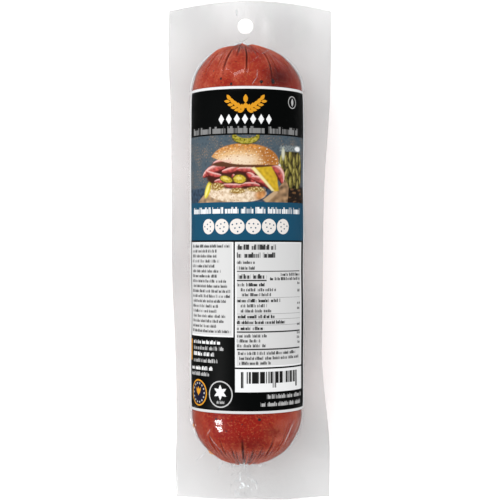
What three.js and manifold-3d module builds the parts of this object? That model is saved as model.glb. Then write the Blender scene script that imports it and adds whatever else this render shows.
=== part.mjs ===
// A vacuum-packed salami, lying on its back.
//
// Millimetres. X is the width, Y the length (the end with the hang hole is +Y), Z is up.
// The origin is the middle of the foot of the whole pack: the surface it lies on is Z = 0.
//
// The sausage is one solid. Two webs of clear film are drawn round it, one from the front and one from
// the back. They meet in a flat margin level with the sausage's own axis and run out to the edge of the
// pouch, where they are sealed to each other. The printed label is wrapped over the front web.

import * as THREE from 'three';
import { mergeVertices } from 'three/addons/utils/BufferGeometryUtils.js';
import Module from 'manifold-3d';

const wasm = await Module();
wasm.setup();

// ---------------------------------------------------------------- driving dimensions

const SAUSAGE_RADIUS = 28;
const SAUSAGE_TOP_Y = 105.1;          // tip at the hang-hole end
const SAUSAGE_BOTTOM_Y = -108.9;      // tip at the plain end
const SAUSAGE_AXIS_X = -1.3;          // the sausage sits a little to the left of the pouch's middle
const TOP_CAP_LENGTH = 27;            // the length over which the top end rounds off
const BOTTOM_CAP_LENGTH = 30;
const REST_STRIP_HALF_WIDTH = 7;      // half the width of the strip flattened by lying down

const FILM_THICKNESS = 0.3;
const GAP = 0.3;                      // clearance between pieces that touch each other

const LABEL_HALF_LENGTH = 80;
const LABEL_THICKNESS = 0.3;

const POUCH_HALF_LENGTH = 127;
const POUCH_TOP_ARCH = 5.8;           // the top edge is arched by this much
const HANG_HOLE_RADIUS = 4;
const HANG_HOLE_X = -2.1;
const HANG_HOLE_Y = 114;

const SEGMENTS_ROUND = 48;
const SEGMENTS_CAP = 10;

// ---------------------------------------------------------------- worked out from those

const REST_DEPTH = SAUSAGE_RADIUS - Math.sqrt(SAUSAGE_RADIUS ** 2 - REST_STRIP_HALF_WIDTH ** 2);
const SAUSAGE_FLOOR_Z = FILM_THICKNESS + GAP;
const AXIS_Z = SAUSAGE_FLOOR_Z + SAUSAGE_RADIUS - REST_DEPTH;
const FILM_INSIDE = GAP;                             // offsets from the sausage's surface
const FILM_OUTSIDE = FILM_INSIDE + FILM_THICKNESS;
const LABEL_INSIDE = FILM_OUTSIDE + GAP;
const LABEL_OUTSIDE = LABEL_INSIDE + LABEL_THICKNESS;
const TOP_CENTRE_Y = SAUSAGE_TOP_Y - TOP_CAP_LENGTH;
const BOTTOM_CENTRE_Y = SAUSAGE_BOTTOM_Y + BOTTOM_CAP_LENGTH;

const materials = {
  sausage: new THREE.MeshStandardMaterial({ color: 0x8c3022, roughness: 0.5, metalness: 0 }),
  film: new THREE.MeshStandardMaterial({
    color: 0xe6e8ea, roughness: 0.15, metalness: 0, transparent: true, opacity: 0.3,
  }),
  label: new THREE.MeshStandardMaterial({ color: 0x15506e, roughness: 0.35, metalness: 0 }),
};

// ---------------------------------------------------------------- helpers

// The closed triangle mesh of a geometry, with shared corners merged and collapsed triangles left out.
function closedMesh(geometry) {
  const bare = geometry.clone();
  bare.deleteAttribute('normal');
  bare.deleteAttribute('uv');
  const merged = mergeVertices(bare, 1e-4);
  const corners = merged.index.array;
  const kept = [];
  for (let i = 0; i < corners.length; i += 3) {
    const [a, b, c] = [corners[i], corners[i + 1], corners[i + 2]];
    if (a !== b && b !== c && c !== a) {
      kept.push(a, b, c);
    }
  }
  merged.setIndex(kept);
  return merged;
}

function solidOf(geometry) {
  const mesh = closedMesh(geometry);
  return new wasm.Manifold(new wasm.Mesh({
    numProp: 3,
    vertProperties: new Float32Array(mesh.attributes.position.array),
    triVerts: new Uint32Array(mesh.index.array),
  }));
}

function geometryOf(solid) {
  const mesh = solid.getMesh();
  const geometry = new THREE.BufferGeometry();
  geometry.setAttribute('position', new THREE.BufferAttribute(mesh.vertProperties, 3));
  geometry.setIndex(new THREE.BufferAttribute(mesh.triVerts, 1));
  geometry.computeVertexNormals();
  return geometry;
}

function part(name, geometry, material) {
  const mesh = new THREE.Mesh(geometry, material);
  mesh.name = name;
  return mesh;
}

// ---------------------------------------------------------------- shapes

// The sausage's outline grown by an offset: a quarter ellipse, a straight side, a quarter ellipse.
function sausageProfile(offset) {
  const radius = SAUSAGE_RADIUS + offset;
  const points = [];
  for (let i = 0; i <= SEGMENTS_CAP; i += 1) {
    const angle = (i / SEGMENTS_CAP) * Math.PI / 2;
    const reach = BOTTOM_CAP_LENGTH + offset;
    points.push(new THREE.Vector2(radius * Math.sin(angle), BOTTOM_CENTRE_Y - reach * Math.cos(angle)));
  }
  for (let i = 0; i <= SEGMENTS_CAP; i += 1) {
    const angle = (i / SEGMENTS_CAP) * Math.PI / 2;
    const reach = TOP_CAP_LENGTH + offset;
    points.push(new THREE.Vector2(radius * Math.cos(angle), TOP_CENTRE_Y + reach * Math.sin(angle)));
  }
  points[0].x = 0;
  points[points.length - 1].x = 0;
  return points;
}

// The sausage's body grown by an offset, in place, pressed flat where it reaches below flatZ.
function sausageBody(offset, flatZ) {
  const geometry = new THREE.LatheGeometry(sausageProfile(offset), SEGMENTS_ROUND);
  geometry.translate(SAUSAGE_AXIS_X, 0, AXIS_Z);
  const position = geometry.attributes.position;
  for (let i = 0; i < position.count; i += 1) {
    position.setZ(i, Math.max(position.getZ(i), flatZ));
  }
  return geometry;
}

// The flat outline of the pouch: an arched top edge, nearly straight sides, a nearly straight foot.
function pouchOutline() {
  const leftSide = [
    [-41.5, 100], [-40.2, 65], [-39.7, 20], [-38.7, -30], [-37, -80], [-37.6, -108],
  ];
  const rightSide = [
    [41.5, 100], [40.5, 65], [38.4, 28], [37.2, -27], [36.9, -51], [38.4, -75], [40.6, -96],
  ];
  const topCorner = new THREE.Vector2(41.2, POUCH_HALF_LENGTH - POUCH_TOP_ARCH);
  const footCorner = new THREE.Vector2(-37, 2 - POUCH_HALF_LENGTH);
  const points = (side) => side.map(([x, y]) => new THREE.Vector2(x, y));

  const shape = new THREE.Shape();
  shape.moveTo(footCorner.x, footCorner.y);
  shape.splineThru([...points(leftSide).reverse(), new THREE.Vector2(-topCorner.x, topCorner.y)]);
  shape.quadraticCurveTo(0, POUCH_HALF_LENGTH + POUCH_TOP_ARCH, topCorner.x, topCorner.y);
  shape.splineThru([...points(rightSide), new THREE.Vector2(40.6, footCorner.y)]);
  shape.quadraticCurveTo(0, -POUCH_HALF_LENGTH - 2, footCorner.x, footCorner.y);
  return shape;
}

function pouchSheet(lowZ) {
  const sheet = new THREE.ExtrudeGeometry(pouchOutline(), {
    depth: FILM_THICKNESS, bevelEnabled: false, curveSegments: 4,
  });
  sheet.translate(0, 0, lowZ);
  return sheet;
}

function hangHole() {
  const hole = new THREE.CylinderGeometry(HANG_HOLE_RADIUS, HANG_HOLE_RADIUS, 10, 24);
  hole.rotateX(Math.PI / 2);
  hole.translate(HANG_HOLE_X, HANG_HOLE_Y, AXIS_Z);
  return hole;
}

// One web of film: a shell that follows half of the sausage, joined to the flat margin, with the
// sausage's own room and the hang hole cut out of it.
function filmWeb(isFront) {
  const marginZ = isFront ? AXIS_Z + GAP / 2 : AXIS_Z - GAP / 2 - FILM_THICKNESS;
  const half = new THREE.BoxGeometry(120, 300, 60);
  half.translate(0, 0, isFront ? AXIS_Z + GAP / 2 + 30 : AXIS_Z - GAP / 2 - 30);
  const outside = solidOf(sausageBody(FILM_OUTSIDE, 0));
  const inside = solidOf(sausageBody(FILM_INSIDE, FILM_THICKNESS));
  return geometryOf(outside
    .intersect(solidOf(half))
    .add(solidOf(pouchSheet(marginZ)))
    .subtract(inside)
    .subtract(solidOf(hangHole())));
}

// The label: a half ring, from one margin over the front to the other margin.
function labelSheet() {
  const inner = SAUSAGE_RADIUS + LABEL_INSIDE;
  const outer = SAUSAGE_RADIUS + LABEL_OUTSIDE;
  const marginTop = GAP / 2 + FILM_THICKNESS + GAP;
  const start = Math.asin(marginTop / inner);
  const section = new THREE.Shape();
  section.absarc(0, 0, outer, start, Math.PI - start, false);
  section.absarc(0, 0, inner, Math.PI - start, start, true);
  const sheet = new THREE.ExtrudeGeometry(section, {
    depth: 2 * LABEL_HALF_LENGTH, bevelEnabled: false, curveSegments: 24,
  });
  sheet.rotateX(Math.PI / 2);
  sheet.translate(SAUSAGE_AXIS_X, LABEL_HALF_LENGTH, AXIS_Z);
  return sheet;
}

// ---------------------------------------------------------------- the pack

const pouch = new THREE.Group();
pouch.add(part('front_film', filmWeb(true), materials.film));
pouch.add(part('back_film', filmWeb(false), materials.film));

const pack = new THREE.Group();
pack.add(part('salami', closedMesh(sausageBody(0, SAUSAGE_FLOOR_Z)), materials.sausage));
pack.add(pouch);
pack.add(part('printed_label', labelSheet(), materials.label));

export default pack;
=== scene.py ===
"""A vacuum-packed salami, as a Blender add-on that is run as a script.

The packed model is loaded first and stays as it is. Each operator below makes one piece of the pack from
sizes and colours that a user can change, and hides the plain solid that the piece stands for.
Lengths are in metres. The pack lies on its back: X is across it, +Y is the end with the hang hole, Z is up.
"""

import math

import bmesh
import bpy
import numpy as np
from bpy.props import FloatProperty, FloatVectorProperty, IntProperty, PointerProperty
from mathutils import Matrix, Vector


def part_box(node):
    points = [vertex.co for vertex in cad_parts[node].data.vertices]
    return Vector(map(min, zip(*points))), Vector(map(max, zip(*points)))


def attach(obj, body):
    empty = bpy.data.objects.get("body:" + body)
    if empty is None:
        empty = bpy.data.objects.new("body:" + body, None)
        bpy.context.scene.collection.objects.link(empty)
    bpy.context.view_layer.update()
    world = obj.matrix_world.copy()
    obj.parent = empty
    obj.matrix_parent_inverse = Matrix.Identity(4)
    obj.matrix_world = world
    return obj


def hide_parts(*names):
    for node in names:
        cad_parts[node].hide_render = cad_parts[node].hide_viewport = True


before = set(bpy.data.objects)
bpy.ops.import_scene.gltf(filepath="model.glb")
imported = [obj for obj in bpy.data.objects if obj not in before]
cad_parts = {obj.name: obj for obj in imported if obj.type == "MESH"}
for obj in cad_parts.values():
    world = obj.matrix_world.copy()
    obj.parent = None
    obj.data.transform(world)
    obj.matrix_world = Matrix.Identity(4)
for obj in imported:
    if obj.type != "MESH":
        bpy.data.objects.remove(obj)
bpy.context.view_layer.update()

bl_info = {
    "name": "Vacuum-packed salami",
    "version": (1, 0, 0),
    "blender": (4, 5, 0),
    "location": "3D View > Sidebar > Salami",
    "description": "Makes a salami in a clear vacuum pouch with a printed label",
    "category": "Add Mesh",
}

MM = 0.001

# ---------------------------------------------------------------- places, from the packed model

SALAMI_LOW, SALAMI_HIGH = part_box("salami")
FRONT_LOW, FRONT_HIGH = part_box("front_film")
BACK_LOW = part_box("back_film")[0]
LABEL_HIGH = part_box("printed_label")[1]

RADIUS = (SALAMI_HIGH.x - SALAMI_LOW.x) / 2
AXIS_X = (SALAMI_HIGH.x + SALAMI_LOW.x) / 2
AXIS_Z = SALAMI_HIGH.z - RADIUS
TOP_TIP = SALAMI_HIGH.y
BOTTOM_TIP = SALAMI_LOW.y
POUCH_HEAD = FRONT_HIGH.y
POUCH_FOOT = FRONT_LOW.y
LABEL_REACH = LABEL_HIGH.y
HANG_HOLE = (-2.1 * MM, 114 * MM)
HANG_HOLE_RADIUS = 4 * MM

# ---------------------------------------------------------------- what a user would change


class SalamiSizes(bpy.types.PropertyGroup):
    """The shape of the sausage inside the pouch"""

    top_cap: FloatProperty(
        name="Top cap", description="Length over which the end by the hang hole rounds off",
        default=23.7 * MM, min=5 * MM, unit="LENGTH")
    bottom_cap: FloatProperty(
        name="Bottom cap", description="Length over which the plain end rounds off",
        default=25.8 * MM, min=5 * MM, unit="LENGTH")
    nub: FloatProperty(
        name="Nub", description="How far the gathered casing stands up from the end by the hang hole",
        default=1.6 * MM, min=0, unit="LENGTH")
    bottom_inset: FloatProperty(
        name="Bottom inset", description="From the solid's tip back to the gathered plain end",
        default=0.6 * MM, min=0, unit="LENGTH")
    pleats: IntProperty(
        name="Pleats", description="Folds round each gathered end", default=46, min=4, max=80)
    pleat_depth: FloatProperty(
        name="Pleat depth", description="Depth of the deepest pleats", default=1.3 * MM, min=0,
        unit="LENGTH")


class FilmSizes(bpy.types.PropertyGroup):
    """The clear film of the pouch"""

    thickness: FloatProperty(
        name="Thickness", description="Thickness of one web of film", default=0.12 * MM, min=0.02 * MM,
        unit="LENGTH")
    standoff: FloatProperty(
        name="Standoff", description="From the sausage's skin to the film", default=0.22 * MM, min=0,
        unit="LENGTH")
    flare: FloatProperty(
        name="Flare", description="How far the film swings out where it turns into the flat margin",
        default=0.6 * MM, min=0, unit="LENGTH")
    wave: FloatProperty(
        name="Wave", description="Height of the slow waves in the flat margin", default=0.8 * MM, min=0,
        unit="LENGTH")
    seam: FloatProperty(
        name="Seam", description="Space between the two webs along the margin", default=0.1 * MM, min=0,
        unit="LENGTH")
    haze: FloatProperty(
        name="Haze", description="Share of light that one face of the flat margin stops", default=0.135,
        min=0, max=1)
    haze_colour: FloatVectorProperty(
        name="Haze colour", description="What the margin's haze looks like by itself", subtype="COLOR",
        default=(0.41, 0.413, 0.416), min=0, max=1)


class MeatColours(bpy.types.PropertyGroup):
    """The colours of the sausage"""

    wet: FloatVectorProperty(
        name="Wet", description="Meat with the film sucked tight on it", subtype="COLOR",
        default=(0.28, 0.007, 0.003), min=0, max=1)
    red: FloatVectorProperty(
        name="Red", description="Meat under a thin skin", subtype="COLOR",
        default=(0.35, 0.030, 0.012), min=0, max=1)
    # Besides dry skin, this colour paints highlights and reflections where the skin's value is high.
    bloom: FloatVectorProperty(
        name="Bloom", description="Pale skin, dry under the film", subtype="COLOR",
        default=(0.50, 0.105, 0.062), min=0, max=1)
    fat: FloatVectorProperty(
        name="Fat", description="Flecks of fat near the skin", subtype="COLOR",
        default=(0.55, 0.15, 0.045), min=0, max=1)
    pepper: FloatVectorProperty(
        name="Pepper", description="Cracked pepper", subtype="COLOR", default=(0.014, 0.012, 0.016),
        min=0, max=1)


class LabelSizes(bpy.types.PropertyGroup):
    """The printed label"""

    thickness: FloatProperty(
        name="Thickness", description="Thickness of the printed sheet", default=0.12 * MM,
        min=0.02 * MM, unit="LENGTH")
    standoff: FloatProperty(
        name="Standoff", description="From the sausage's radius to the back of the label",
        default=0.83 * MM, min=0, unit="LENGTH")
    end_border: FloatProperty(
        name="End border", description="Width of the white edge along the label's two ends",
        default=1.3 * MM, min=0, unit="LENGTH")
    left_border: FloatProperty(
        name="Left border", description="Width of the white edge along the label's left side",
        default=6.6 * MM, min=0, unit="LENGTH")
    right_border: FloatProperty(
        name="Right border", description="Width of the white edge along the label's right side",
        default=5.0 * MM, min=0, unit="LENGTH")


class LabelColours(bpy.types.PropertyGroup):
    """The inks of the printed label"""

    paper: FloatVectorProperty(
        name="Paper", description="Unprinted white", subtype="COLOR", default=(0.74, 0.745, 0.75),
        min=0, max=1)
    black: FloatVectorProperty(
        name="Black", description="Black ink", subtype="COLOR", default=(0.0015, 0.002, 0.002),
        min=0, max=1)
    blue: FloatVectorProperty(
        name="Blue", description="The blue band", subtype="COLOR", default=(0.005, 0.066, 0.128),
        min=0, max=1)
    gold: FloatVectorProperty(
        name="Gold", description="Gold ink", subtype="COLOR", default=(0.62, 0.27, 0.012), min=0, max=1)
    grey: FloatVectorProperty(
        name="Grey", description="Light grey tint panel", subtype="COLOR", default=(0.59, 0.59, 0.59),
        min=0, max=1)
    cream: FloatVectorProperty(
        name="Cream", description="Off-white of the large ornaments", subtype="COLOR",
        default=(0.70, 0.66, 0.63), min=0, max=1)
    navy: FloatVectorProperty(
        name="Navy", description="Fill of the gold-ringed badge", subtype="COLOR",
        default=(0.008, 0.008, 0.028), min=0, max=1)


class StageSizes(bpy.types.PropertyGroup):
    """The floor, the lights and the camera"""

    camera_height: FloatProperty(
        name="Camera height", description="From the sausage's axis up to the camera", default=0.68,
        min=0.1, unit="LENGTH")
    field_width: FloatProperty(
        name="Field width", description="Width that the camera takes in at the sausage's axis",
        default=0.2545, min=0.05, unit="LENGTH")
    camera_x: FloatProperty(
        name="Camera X", description="Sideways place of the camera", default=0.25 * MM, unit="LENGTH")
    sky: FloatProperty(name="Sky", description="Strength of the even light", default=1.0, min=0)
    sky_in_gloss: FloatProperty(
        name="Sky in gloss", description="Strength of the even light as glossy surfaces mirror it",
        default=0.06, min=0)
    key: FloatProperty(name="Key", description="Power of the key light in watts", default=5.0, min=0)


PROPERTY_GROUPS = {
    "salami_sizes": SalamiSizes,
    "salami_film": FilmSizes,
    "salami_meat": MeatColours,
    "salami_label": LabelSizes,
    "salami_inks": LabelColours,
    "salami_stage": StageSizes,
}

# ---------------------------------------------------------------- numbers over surfaces


def smooth(t):
    """A step from 0 to 1 with level ends: 3t^2 - 2t^3, held outside 0..1."""
    t = np.clip(t, 0.0, 1.0)
    return t * t * (3 - 2 * t)


def between(a, b, share):
    """The point that lies a share of the way from a to b."""
    return a + (b - a) * share


def bell(distance, width):
    """A bell curve, exp(-(distance / width)^2)."""
    return np.exp(-((distance / width) ** 2))


def ripples(points, size, seed, waves=20):
    """Smooth noise of about unit height: a sum of cosines along random directions, near one wavelength."""
    rng = np.random.default_rng(seed)
    directions = rng.normal(size=(waves, points.shape[-1]))
    directions /= np.linalg.norm(directions, axis=1)[:, None]
    steps = directions * (2 * np.pi / (size * rng.uniform(0.7, 1.5, waves)))[:, None]
    phases = rng.uniform(0, 2 * np.pi, waves)
    return np.cos(points @ steps.T + phases).sum(-1) / math.sqrt(waves / 2)


def level_off(height, floor, rounding):
    """Height held above a floor, with the corner rounded: floor + k log(1 + exp((height - floor) / k))."""
    return floor + rounding * np.logaddexp(0, (height - floor) / rounding)


# ---------------------------------------------------------------- meshes


def grid_faces(rows, columns, closed):
    """The quads of a grid of rows by columns of points; closed joins the last column to the first."""
    row = np.arange(rows - 1)[:, None]
    column = np.arange(columns if closed else columns - 1)[None, :]
    after = (column + 1) % columns
    corners = (row * columns + column, row * columns + after,
               (row + 1) * columns + after, (row + 1) * columns + column)
    return np.stack([np.broadcast_to(c, (rows - 1, column.size)) for c in corners], -1).reshape(-1, 4)


def new_object(name, points, faces):
    """A smooth-shaded object at the origin, from a grid of points and its faces."""
    mesh = bpy.data.meshes.new(name)
    mesh.from_pydata(points.reshape(-1, 3).tolist(), [], faces.tolist())
    mesh.update()
    mesh.shade_smooth()
    made = bpy.data.objects.new(name, mesh)
    bpy.context.scene.collection.objects.link(made)
    return made


def clean_up(made, nearness=1e-7):
    """Merges points that coincide, as at a pole, and drops the faces that this closes up."""
    work = bmesh.new()
    work.from_mesh(made.data)
    bmesh.ops.remove_doubles(work, verts=work.verts, dist=nearness)
    bmesh.ops.dissolve_degenerate(work, edges=work.edges, dist=nearness / 10)
    work.to_mesh(made.data)
    work.free()


def add_values(made, name, values):
    """Stores one number per point, for a material to read."""
    attribute = made.data.attributes.new(name, "FLOAT", "POINT")
    attribute.data.foreach_set("value", np.ascontiguousarray(values, np.float32).ravel())


def add_colours(made, name, colours):
    """Stores one colour per point, for a material to read."""
    attribute = made.data.attributes.new(name, "FLOAT_COLOR", "POINT")
    flat = np.ones((colours.reshape(-1, 3).shape[0], 4), np.float32)
    flat[:, :3] = colours.reshape(-1, 3)
    attribute.data.foreach_set("color", flat.ravel())


def add_flat_map(made, name, flat):
    """Stores where each point lies on the flat sheet, as a UV map."""
    corners = np.empty(len(made.data.loops), np.int32)
    made.data.loops.foreach_get("vertex_index", corners)
    laid = flat.reshape(-1, 2)[corners].astype(np.float32)
    made.data.uv_layers.new(name=name).data.foreach_set("uv", laid.ravel())


def thicken(made, thickness, offset):
    """Gives a sheet its thickness. An offset of 1 grows it along its normals, and -1 against them."""
    solid = made.modifiers.new("Thickness", "SOLIDIFY")
    solid.thickness = thickness
    solid.offset = offset


def put_in_place(made, node, material):
    """Lets a piece ride with the pack, stand for its plain solid and take its finish."""
    made.data.materials.append(material)
    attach(made, "root")
    if node:
        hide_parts(node)


# ---------------------------------------------------------------- the sausage's form


def heading(turn, march):
    """The way the skin faces. turn goes round the sausage, 0 at +X and a quarter turn at +Z. march goes
    along it: -2 to -1 is the bottom cap, -1 to 1 the side and 1 to 2 the top cap."""
    slope = np.clip(np.abs(march) - 1, 0, 1) * np.pi / 2
    return np.stack([np.cos(turn) * np.cos(slope), np.sign(march) * np.sin(slope),
                     np.sin(turn) * np.cos(slope)], -1)


def fold_table(front, count, seed):
    """Pleats as (turns, lengths, widths, depth shares). The front's turns, lengths and depth shares are
    given; the rest of the round is filled with some disorder."""
    rng = np.random.default_rng(seed)
    turns = (np.arange(count) + rng.uniform(-0.35, 0.35, count)) * 360 / count
    lengths = 1.25 * (rng.uniform(9, 20, count) + rng.uniform(0, 11, count) * (rng.random(count) < 0.4))
    depths = rng.uniform(0.25, 0.8, count)
    widths = rng.uniform(0.24, 0.44, count + len(front))
    first = min(row[0] for row in front) - 5
    last = max(row[0] for row in front) + 5
    free = (turns < first) | (turns > last)
    table = np.concatenate([np.array(front), np.stack([turns, lengths, depths], -1)[free]])
    return np.radians(table[:, 0]), table[:, 1] * MM, widths[:len(table)] * MM, table[:, 2]


# The pleats given one by one for the front: turn in degrees, length in mm and depth share.
TOP_FOLDS = (
    (12, 25, .5), (21, 30, .7), (33, 36.25, .9), (43, 27.5, .5), (49, 18.75, .4), (56, 36.25, .8),
    (64, 38.75, 1), (71, 17.5, .5), (78, 25, .45), (85, 15, .4), (94, 36.25, 1), (101, 16.25, .5),
    (108, 25, .6), (115, 17.5, .5), (121, 35, 1), (126, 22.5, .5), (131, 32.5, .7),
    (138, 21.25, .5), (146, 32.5, .8), (155, 26.25, .6), (163, 31.25, .7), (171, 22.5, .5))
BOTTOM_FOLDS = (
    (10, 30, .6), (18, 35, .8), (27, 30, .7), (35, 33.75, .9), (44, 36.25, 1), (52, 27.5, .6),
    (59, 33.75, .9), (65, 25, .6), (70, 28.75, .8), (76, 25, .7), (81, 27.5, .8), (86, 23.75, .6),
    (91, 26.25, .8), (95, 33.75, 1), (100, 25, .7), (105, 26.25, .8), (110, 28.75, .7),
    (116, 26.25, .8), (122, 32.5, .9), (129, 27.5, .7), (136, 35, .9), (144, 27.5, .6),
    (151, 32.5, .8), (160, 27.5, .6), (169, 31.25, .7))


def pleats(across, up, from_end, folds):
    """Height of the skin over its plain form, in shares of the deepest pleat. across and up are measured
    from the point where the casing is gathered. Each pleat is a narrow valley between two low shoulders,
    widening along its length, and fading out at its far end and at the gather itself."""
    height = np.zeros_like(from_end)
    out = np.hypot(across, up)
    facing = np.arctan2(up, across)
    for at, length, width, depth in zip(*folds):
        aside = np.abs((facing - at + np.pi) % (2 * np.pi) - np.pi) * out
        spread = width * (0.75 + 0.8 * from_end / length)
        valley = 0.42 * bell(aside - 2.2 * spread, 1.2 * spread) - bell(aside, spread)
        fade = smooth(2.5 * (1 - from_end / length)) * smooth(from_end / (2.5 * MM))
        height += depth * valley * fade
    return height


def salami_form(sizes, turn, march, pleat_share=1.0, grow=0.0):
    """The sausage's skin at (turn, march), as heading() counts them; returns the points, and the pleats'
    height in shares of the deepest.

    The plain form is a circle of radius R along the side. Over a cap of length a, at a slope p from 0 to a
    quarter turn, the radius is R cos(p)^k and the reach is a sin(p), which is an ellipse squared up a
    very little. The cap's middle strays sideways towards its end. Pleats and slow lumps are added along
    heading(), and the nub of gathered casing along the axis. grow moves the skin outwards."""
    turn, march = np.broadcast_arrays(turn, march)
    is_top = march > 0
    slope = np.clip(np.abs(march) - 1, 0, 1) * np.pi / 2
    cap = np.where(is_top, sizes.top_cap, sizes.bottom_cap)
    squareness = np.where(is_top, 0.92, 0.95)
    radius = RADIUS * np.clip(np.cos(slope), 0, 1) ** squareness * (slope < np.pi / 2 - 1e-6)
    side_low = BOTTOM_TIP + sizes.bottom_inset + sizes.bottom_cap
    side_high = TOP_TIP - sizes.nub - sizes.top_cap
    along_side = between(side_low, side_high, (np.clip(march, -1, 1) + 1) / 2)
    y = along_side + np.sign(march) * cap * np.sin(slope)
    stray = smooth(slope / (np.pi / 2)) ** 3
    x = AXIS_X + radius * np.cos(turn) - np.where(is_top, 3.0 * MM, 1.2 * MM) * stray
    z = AXIS_Z + radius * np.sin(turn) + np.where(is_top, 0.8 * MM, 0) * stray
    plain = np.stack([x, y, z], -1)

    from_end = np.hypot(radius, cap * (1 - np.sin(slope)))
    gather = np.where(is_top, 1.6 * MM, 0) * smooth(radius / (6 * MM))
    across = radius * np.cos(turn) - gather
    up = radius * np.sin(turn) - gather
    folded = np.where(is_top, pleats(across, up, from_end, fold_table(TOP_FOLDS, sizes.pleats, 11)),
                      pleats(across, up, from_end, fold_table(BOTTOM_FOLDS, sizes.pleats, 5)))
    folded = np.where(slope > 0, folded, 0)
    on_cap = smooth(slope * 2)
    lumps = 0.16 * MM * ripples(plain, 24 * MM, 3) + 0.07 * MM * ripples(plain, 8 * MM, 4)
    lift = sizes.pleat_depth * folded * pleat_share + lumps * (0.5 + 0.5 * on_cap) - 0.25 * MM + grow
    skin = plain + heading(turn, march) * lift[..., None]
    skin[..., 1] += np.where(is_top, sizes.nub * bell(radius, 2.4 * MM), 0) * (slope > 0)
    return skin, folded


def salami_rows(cap_rows, side_rows):
    """Steps of march: even over each cap and along the side."""
    return np.concatenate([np.linspace(-2, -1, cap_rows, endpoint=False),
                           np.linspace(-1, 1, side_rows, endpoint=False),
                           np.linspace(1, 2, cap_rows + 1)])


# ---------------------------------------------------------------- the pouch's outline


def left_edge(y):
    """X of the pouch's left edge: a nearly straight side that leans in towards the foot."""
    return (-39.6 - 1.2 * smooth((y / MM - 30) / 80) + 2.4 * smooth((-y / MM + 5) / 80)
            - 0.5 * np.cos((y / MM - 100) / 13) * smooth((y / MM - 60) / 30)
            - 0.4 * np.cos((y / MM + 112) / 9) * smooth((-y / MM - 80) / 20)) * MM


def right_edge(y):
    """X of the pouch's right edge: drawn in along the sausage and wide at both ends."""
    waist = 36.9 + 0.013 * (y / MM + 45)
    head = 2.7 * smooth((y / MM - 20) / 70)
    foot = 4.7 * smooth((-y / MM - 50) / 55)
    return (waist + head + foot - 0.35 * smooth((y / MM - 100) / 20)) * MM


def head_edge(x):
    """Y of the pouch's head edge, an arch."""
    return POUCH_HEAD - 0.1 * MM - 5.7 * MM * np.abs(x / (41.2 * MM)) ** 1.8


def foot_edge(x):
    """Y of the pouch's foot edge, with slight waves."""
    return POUCH_FOOT + (1.5 * np.abs(x / (40 * MM)) ** 2 + 0.2 + 0.2 * np.cos(x / MM / 5.5)) * MM


def margin_wave(x, y, sizes):
    """Slow rise and fall of the flat margin, stronger towards the corners."""
    flat = np.stack([x, y], -1)
    out = smooth((np.abs(x - AXIS_X) - RADIUS) / (12 * MM))
    past = np.maximum(smooth((y - TOP_TIP) / (20 * MM)), smooth((BOTTOM_TIP - y) / (18 * MM)))
    return sizes.wave * np.maximum(out, past) * ripples(flat, 62 * MM, 21)


# ---------------------------------------------------------------- the film webs

DOME_COLUMNS = 170
MARGIN_COLUMNS = 15
CAP_ROWS = 58
SIDE_ROWS = 40
HEAD_ROWS = 28
FOOT_ROWS = 22
FAN_REACH = 11 * MM     # half the width that the dome's columns fan out to past the sausage's ends
HOLE_START = 5          # rows of the head before the hang hole's block
HOLE_ROWS = 10
HOLE_COLUMNS = 56


def film_dome(side, sizes, shape):
    """The film over the sausage: the sausage's form with half its pleats, grown by the standoff, and
    swinging out by the flare near the margin. side is 1 for the front and -1 for the back."""
    turn = side * np.linspace(np.pi, 0, DOME_COLUMNS + 1)[None, :]
    march = salami_rows(CAP_ROWS, SIDE_ROWS)[:, None]
    close, _ = salami_form(shape, turn, march, pleat_share=0.55, grow=sizes.standoff)
    rise = np.abs(close[..., 2] - AXIS_Z)
    swing = sizes.flare * (1 - smooth(rise / (1.8 * MM)))
    turn, march = np.broadcast_arrays(turn, march)
    dome = close + heading(turn, march) * swing[..., None]
    dome[..., 2] = AXIS_Z + side * np.maximum(side * (dome[..., 2] - AXIS_Z), 0)
    dome[:, [0, -1], 2] = AXIS_Z
    dome[[0, -1]] = dome[[0, -1], :1]
    return dome


def margin_rows(base):
    """Y of the pouch's edge for each row of the dome: halfway between the base line's own y and an even
    share of the line's length, so that the rows spread out past the ends."""
    steps = np.hypot(np.diff(base[:, 0]), np.diff(base[:, 1]))
    share = np.concatenate([[0], np.cumsum(steps)]) / steps.sum()
    return (base[:, 1] + between(base[0, 1], base[-1, 1], share)) / 2


def open_hole(x, y, first_row, first_column):
    """Opens a block of a grid into a round hole. Points on the block's edge move onto the circle, and those
    around it move less and less, out to twice its size. Returns x, y and which points lie inside."""
    rows, columns = np.indices(x.shape)
    p = 2 * (columns - first_column) / HOLE_COLUMNS - 1
    q = 2 * (rows - first_row) / HOLE_ROWS - 1
    out = np.maximum(np.abs(p), np.abs(q))
    angle = np.arctan2(q, p)
    reach = HANG_HOLE_RADIUS * np.maximum(out, 1)
    keep = smooth((out - 1) / 1.1)
    x = between(HANG_HOLE[0] + reach * np.cos(angle), x, keep)
    y = between(HANG_HOLE[1] + reach * np.sin(angle), y, keep)
    return x, y, out <= 1 + 1e-9


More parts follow.
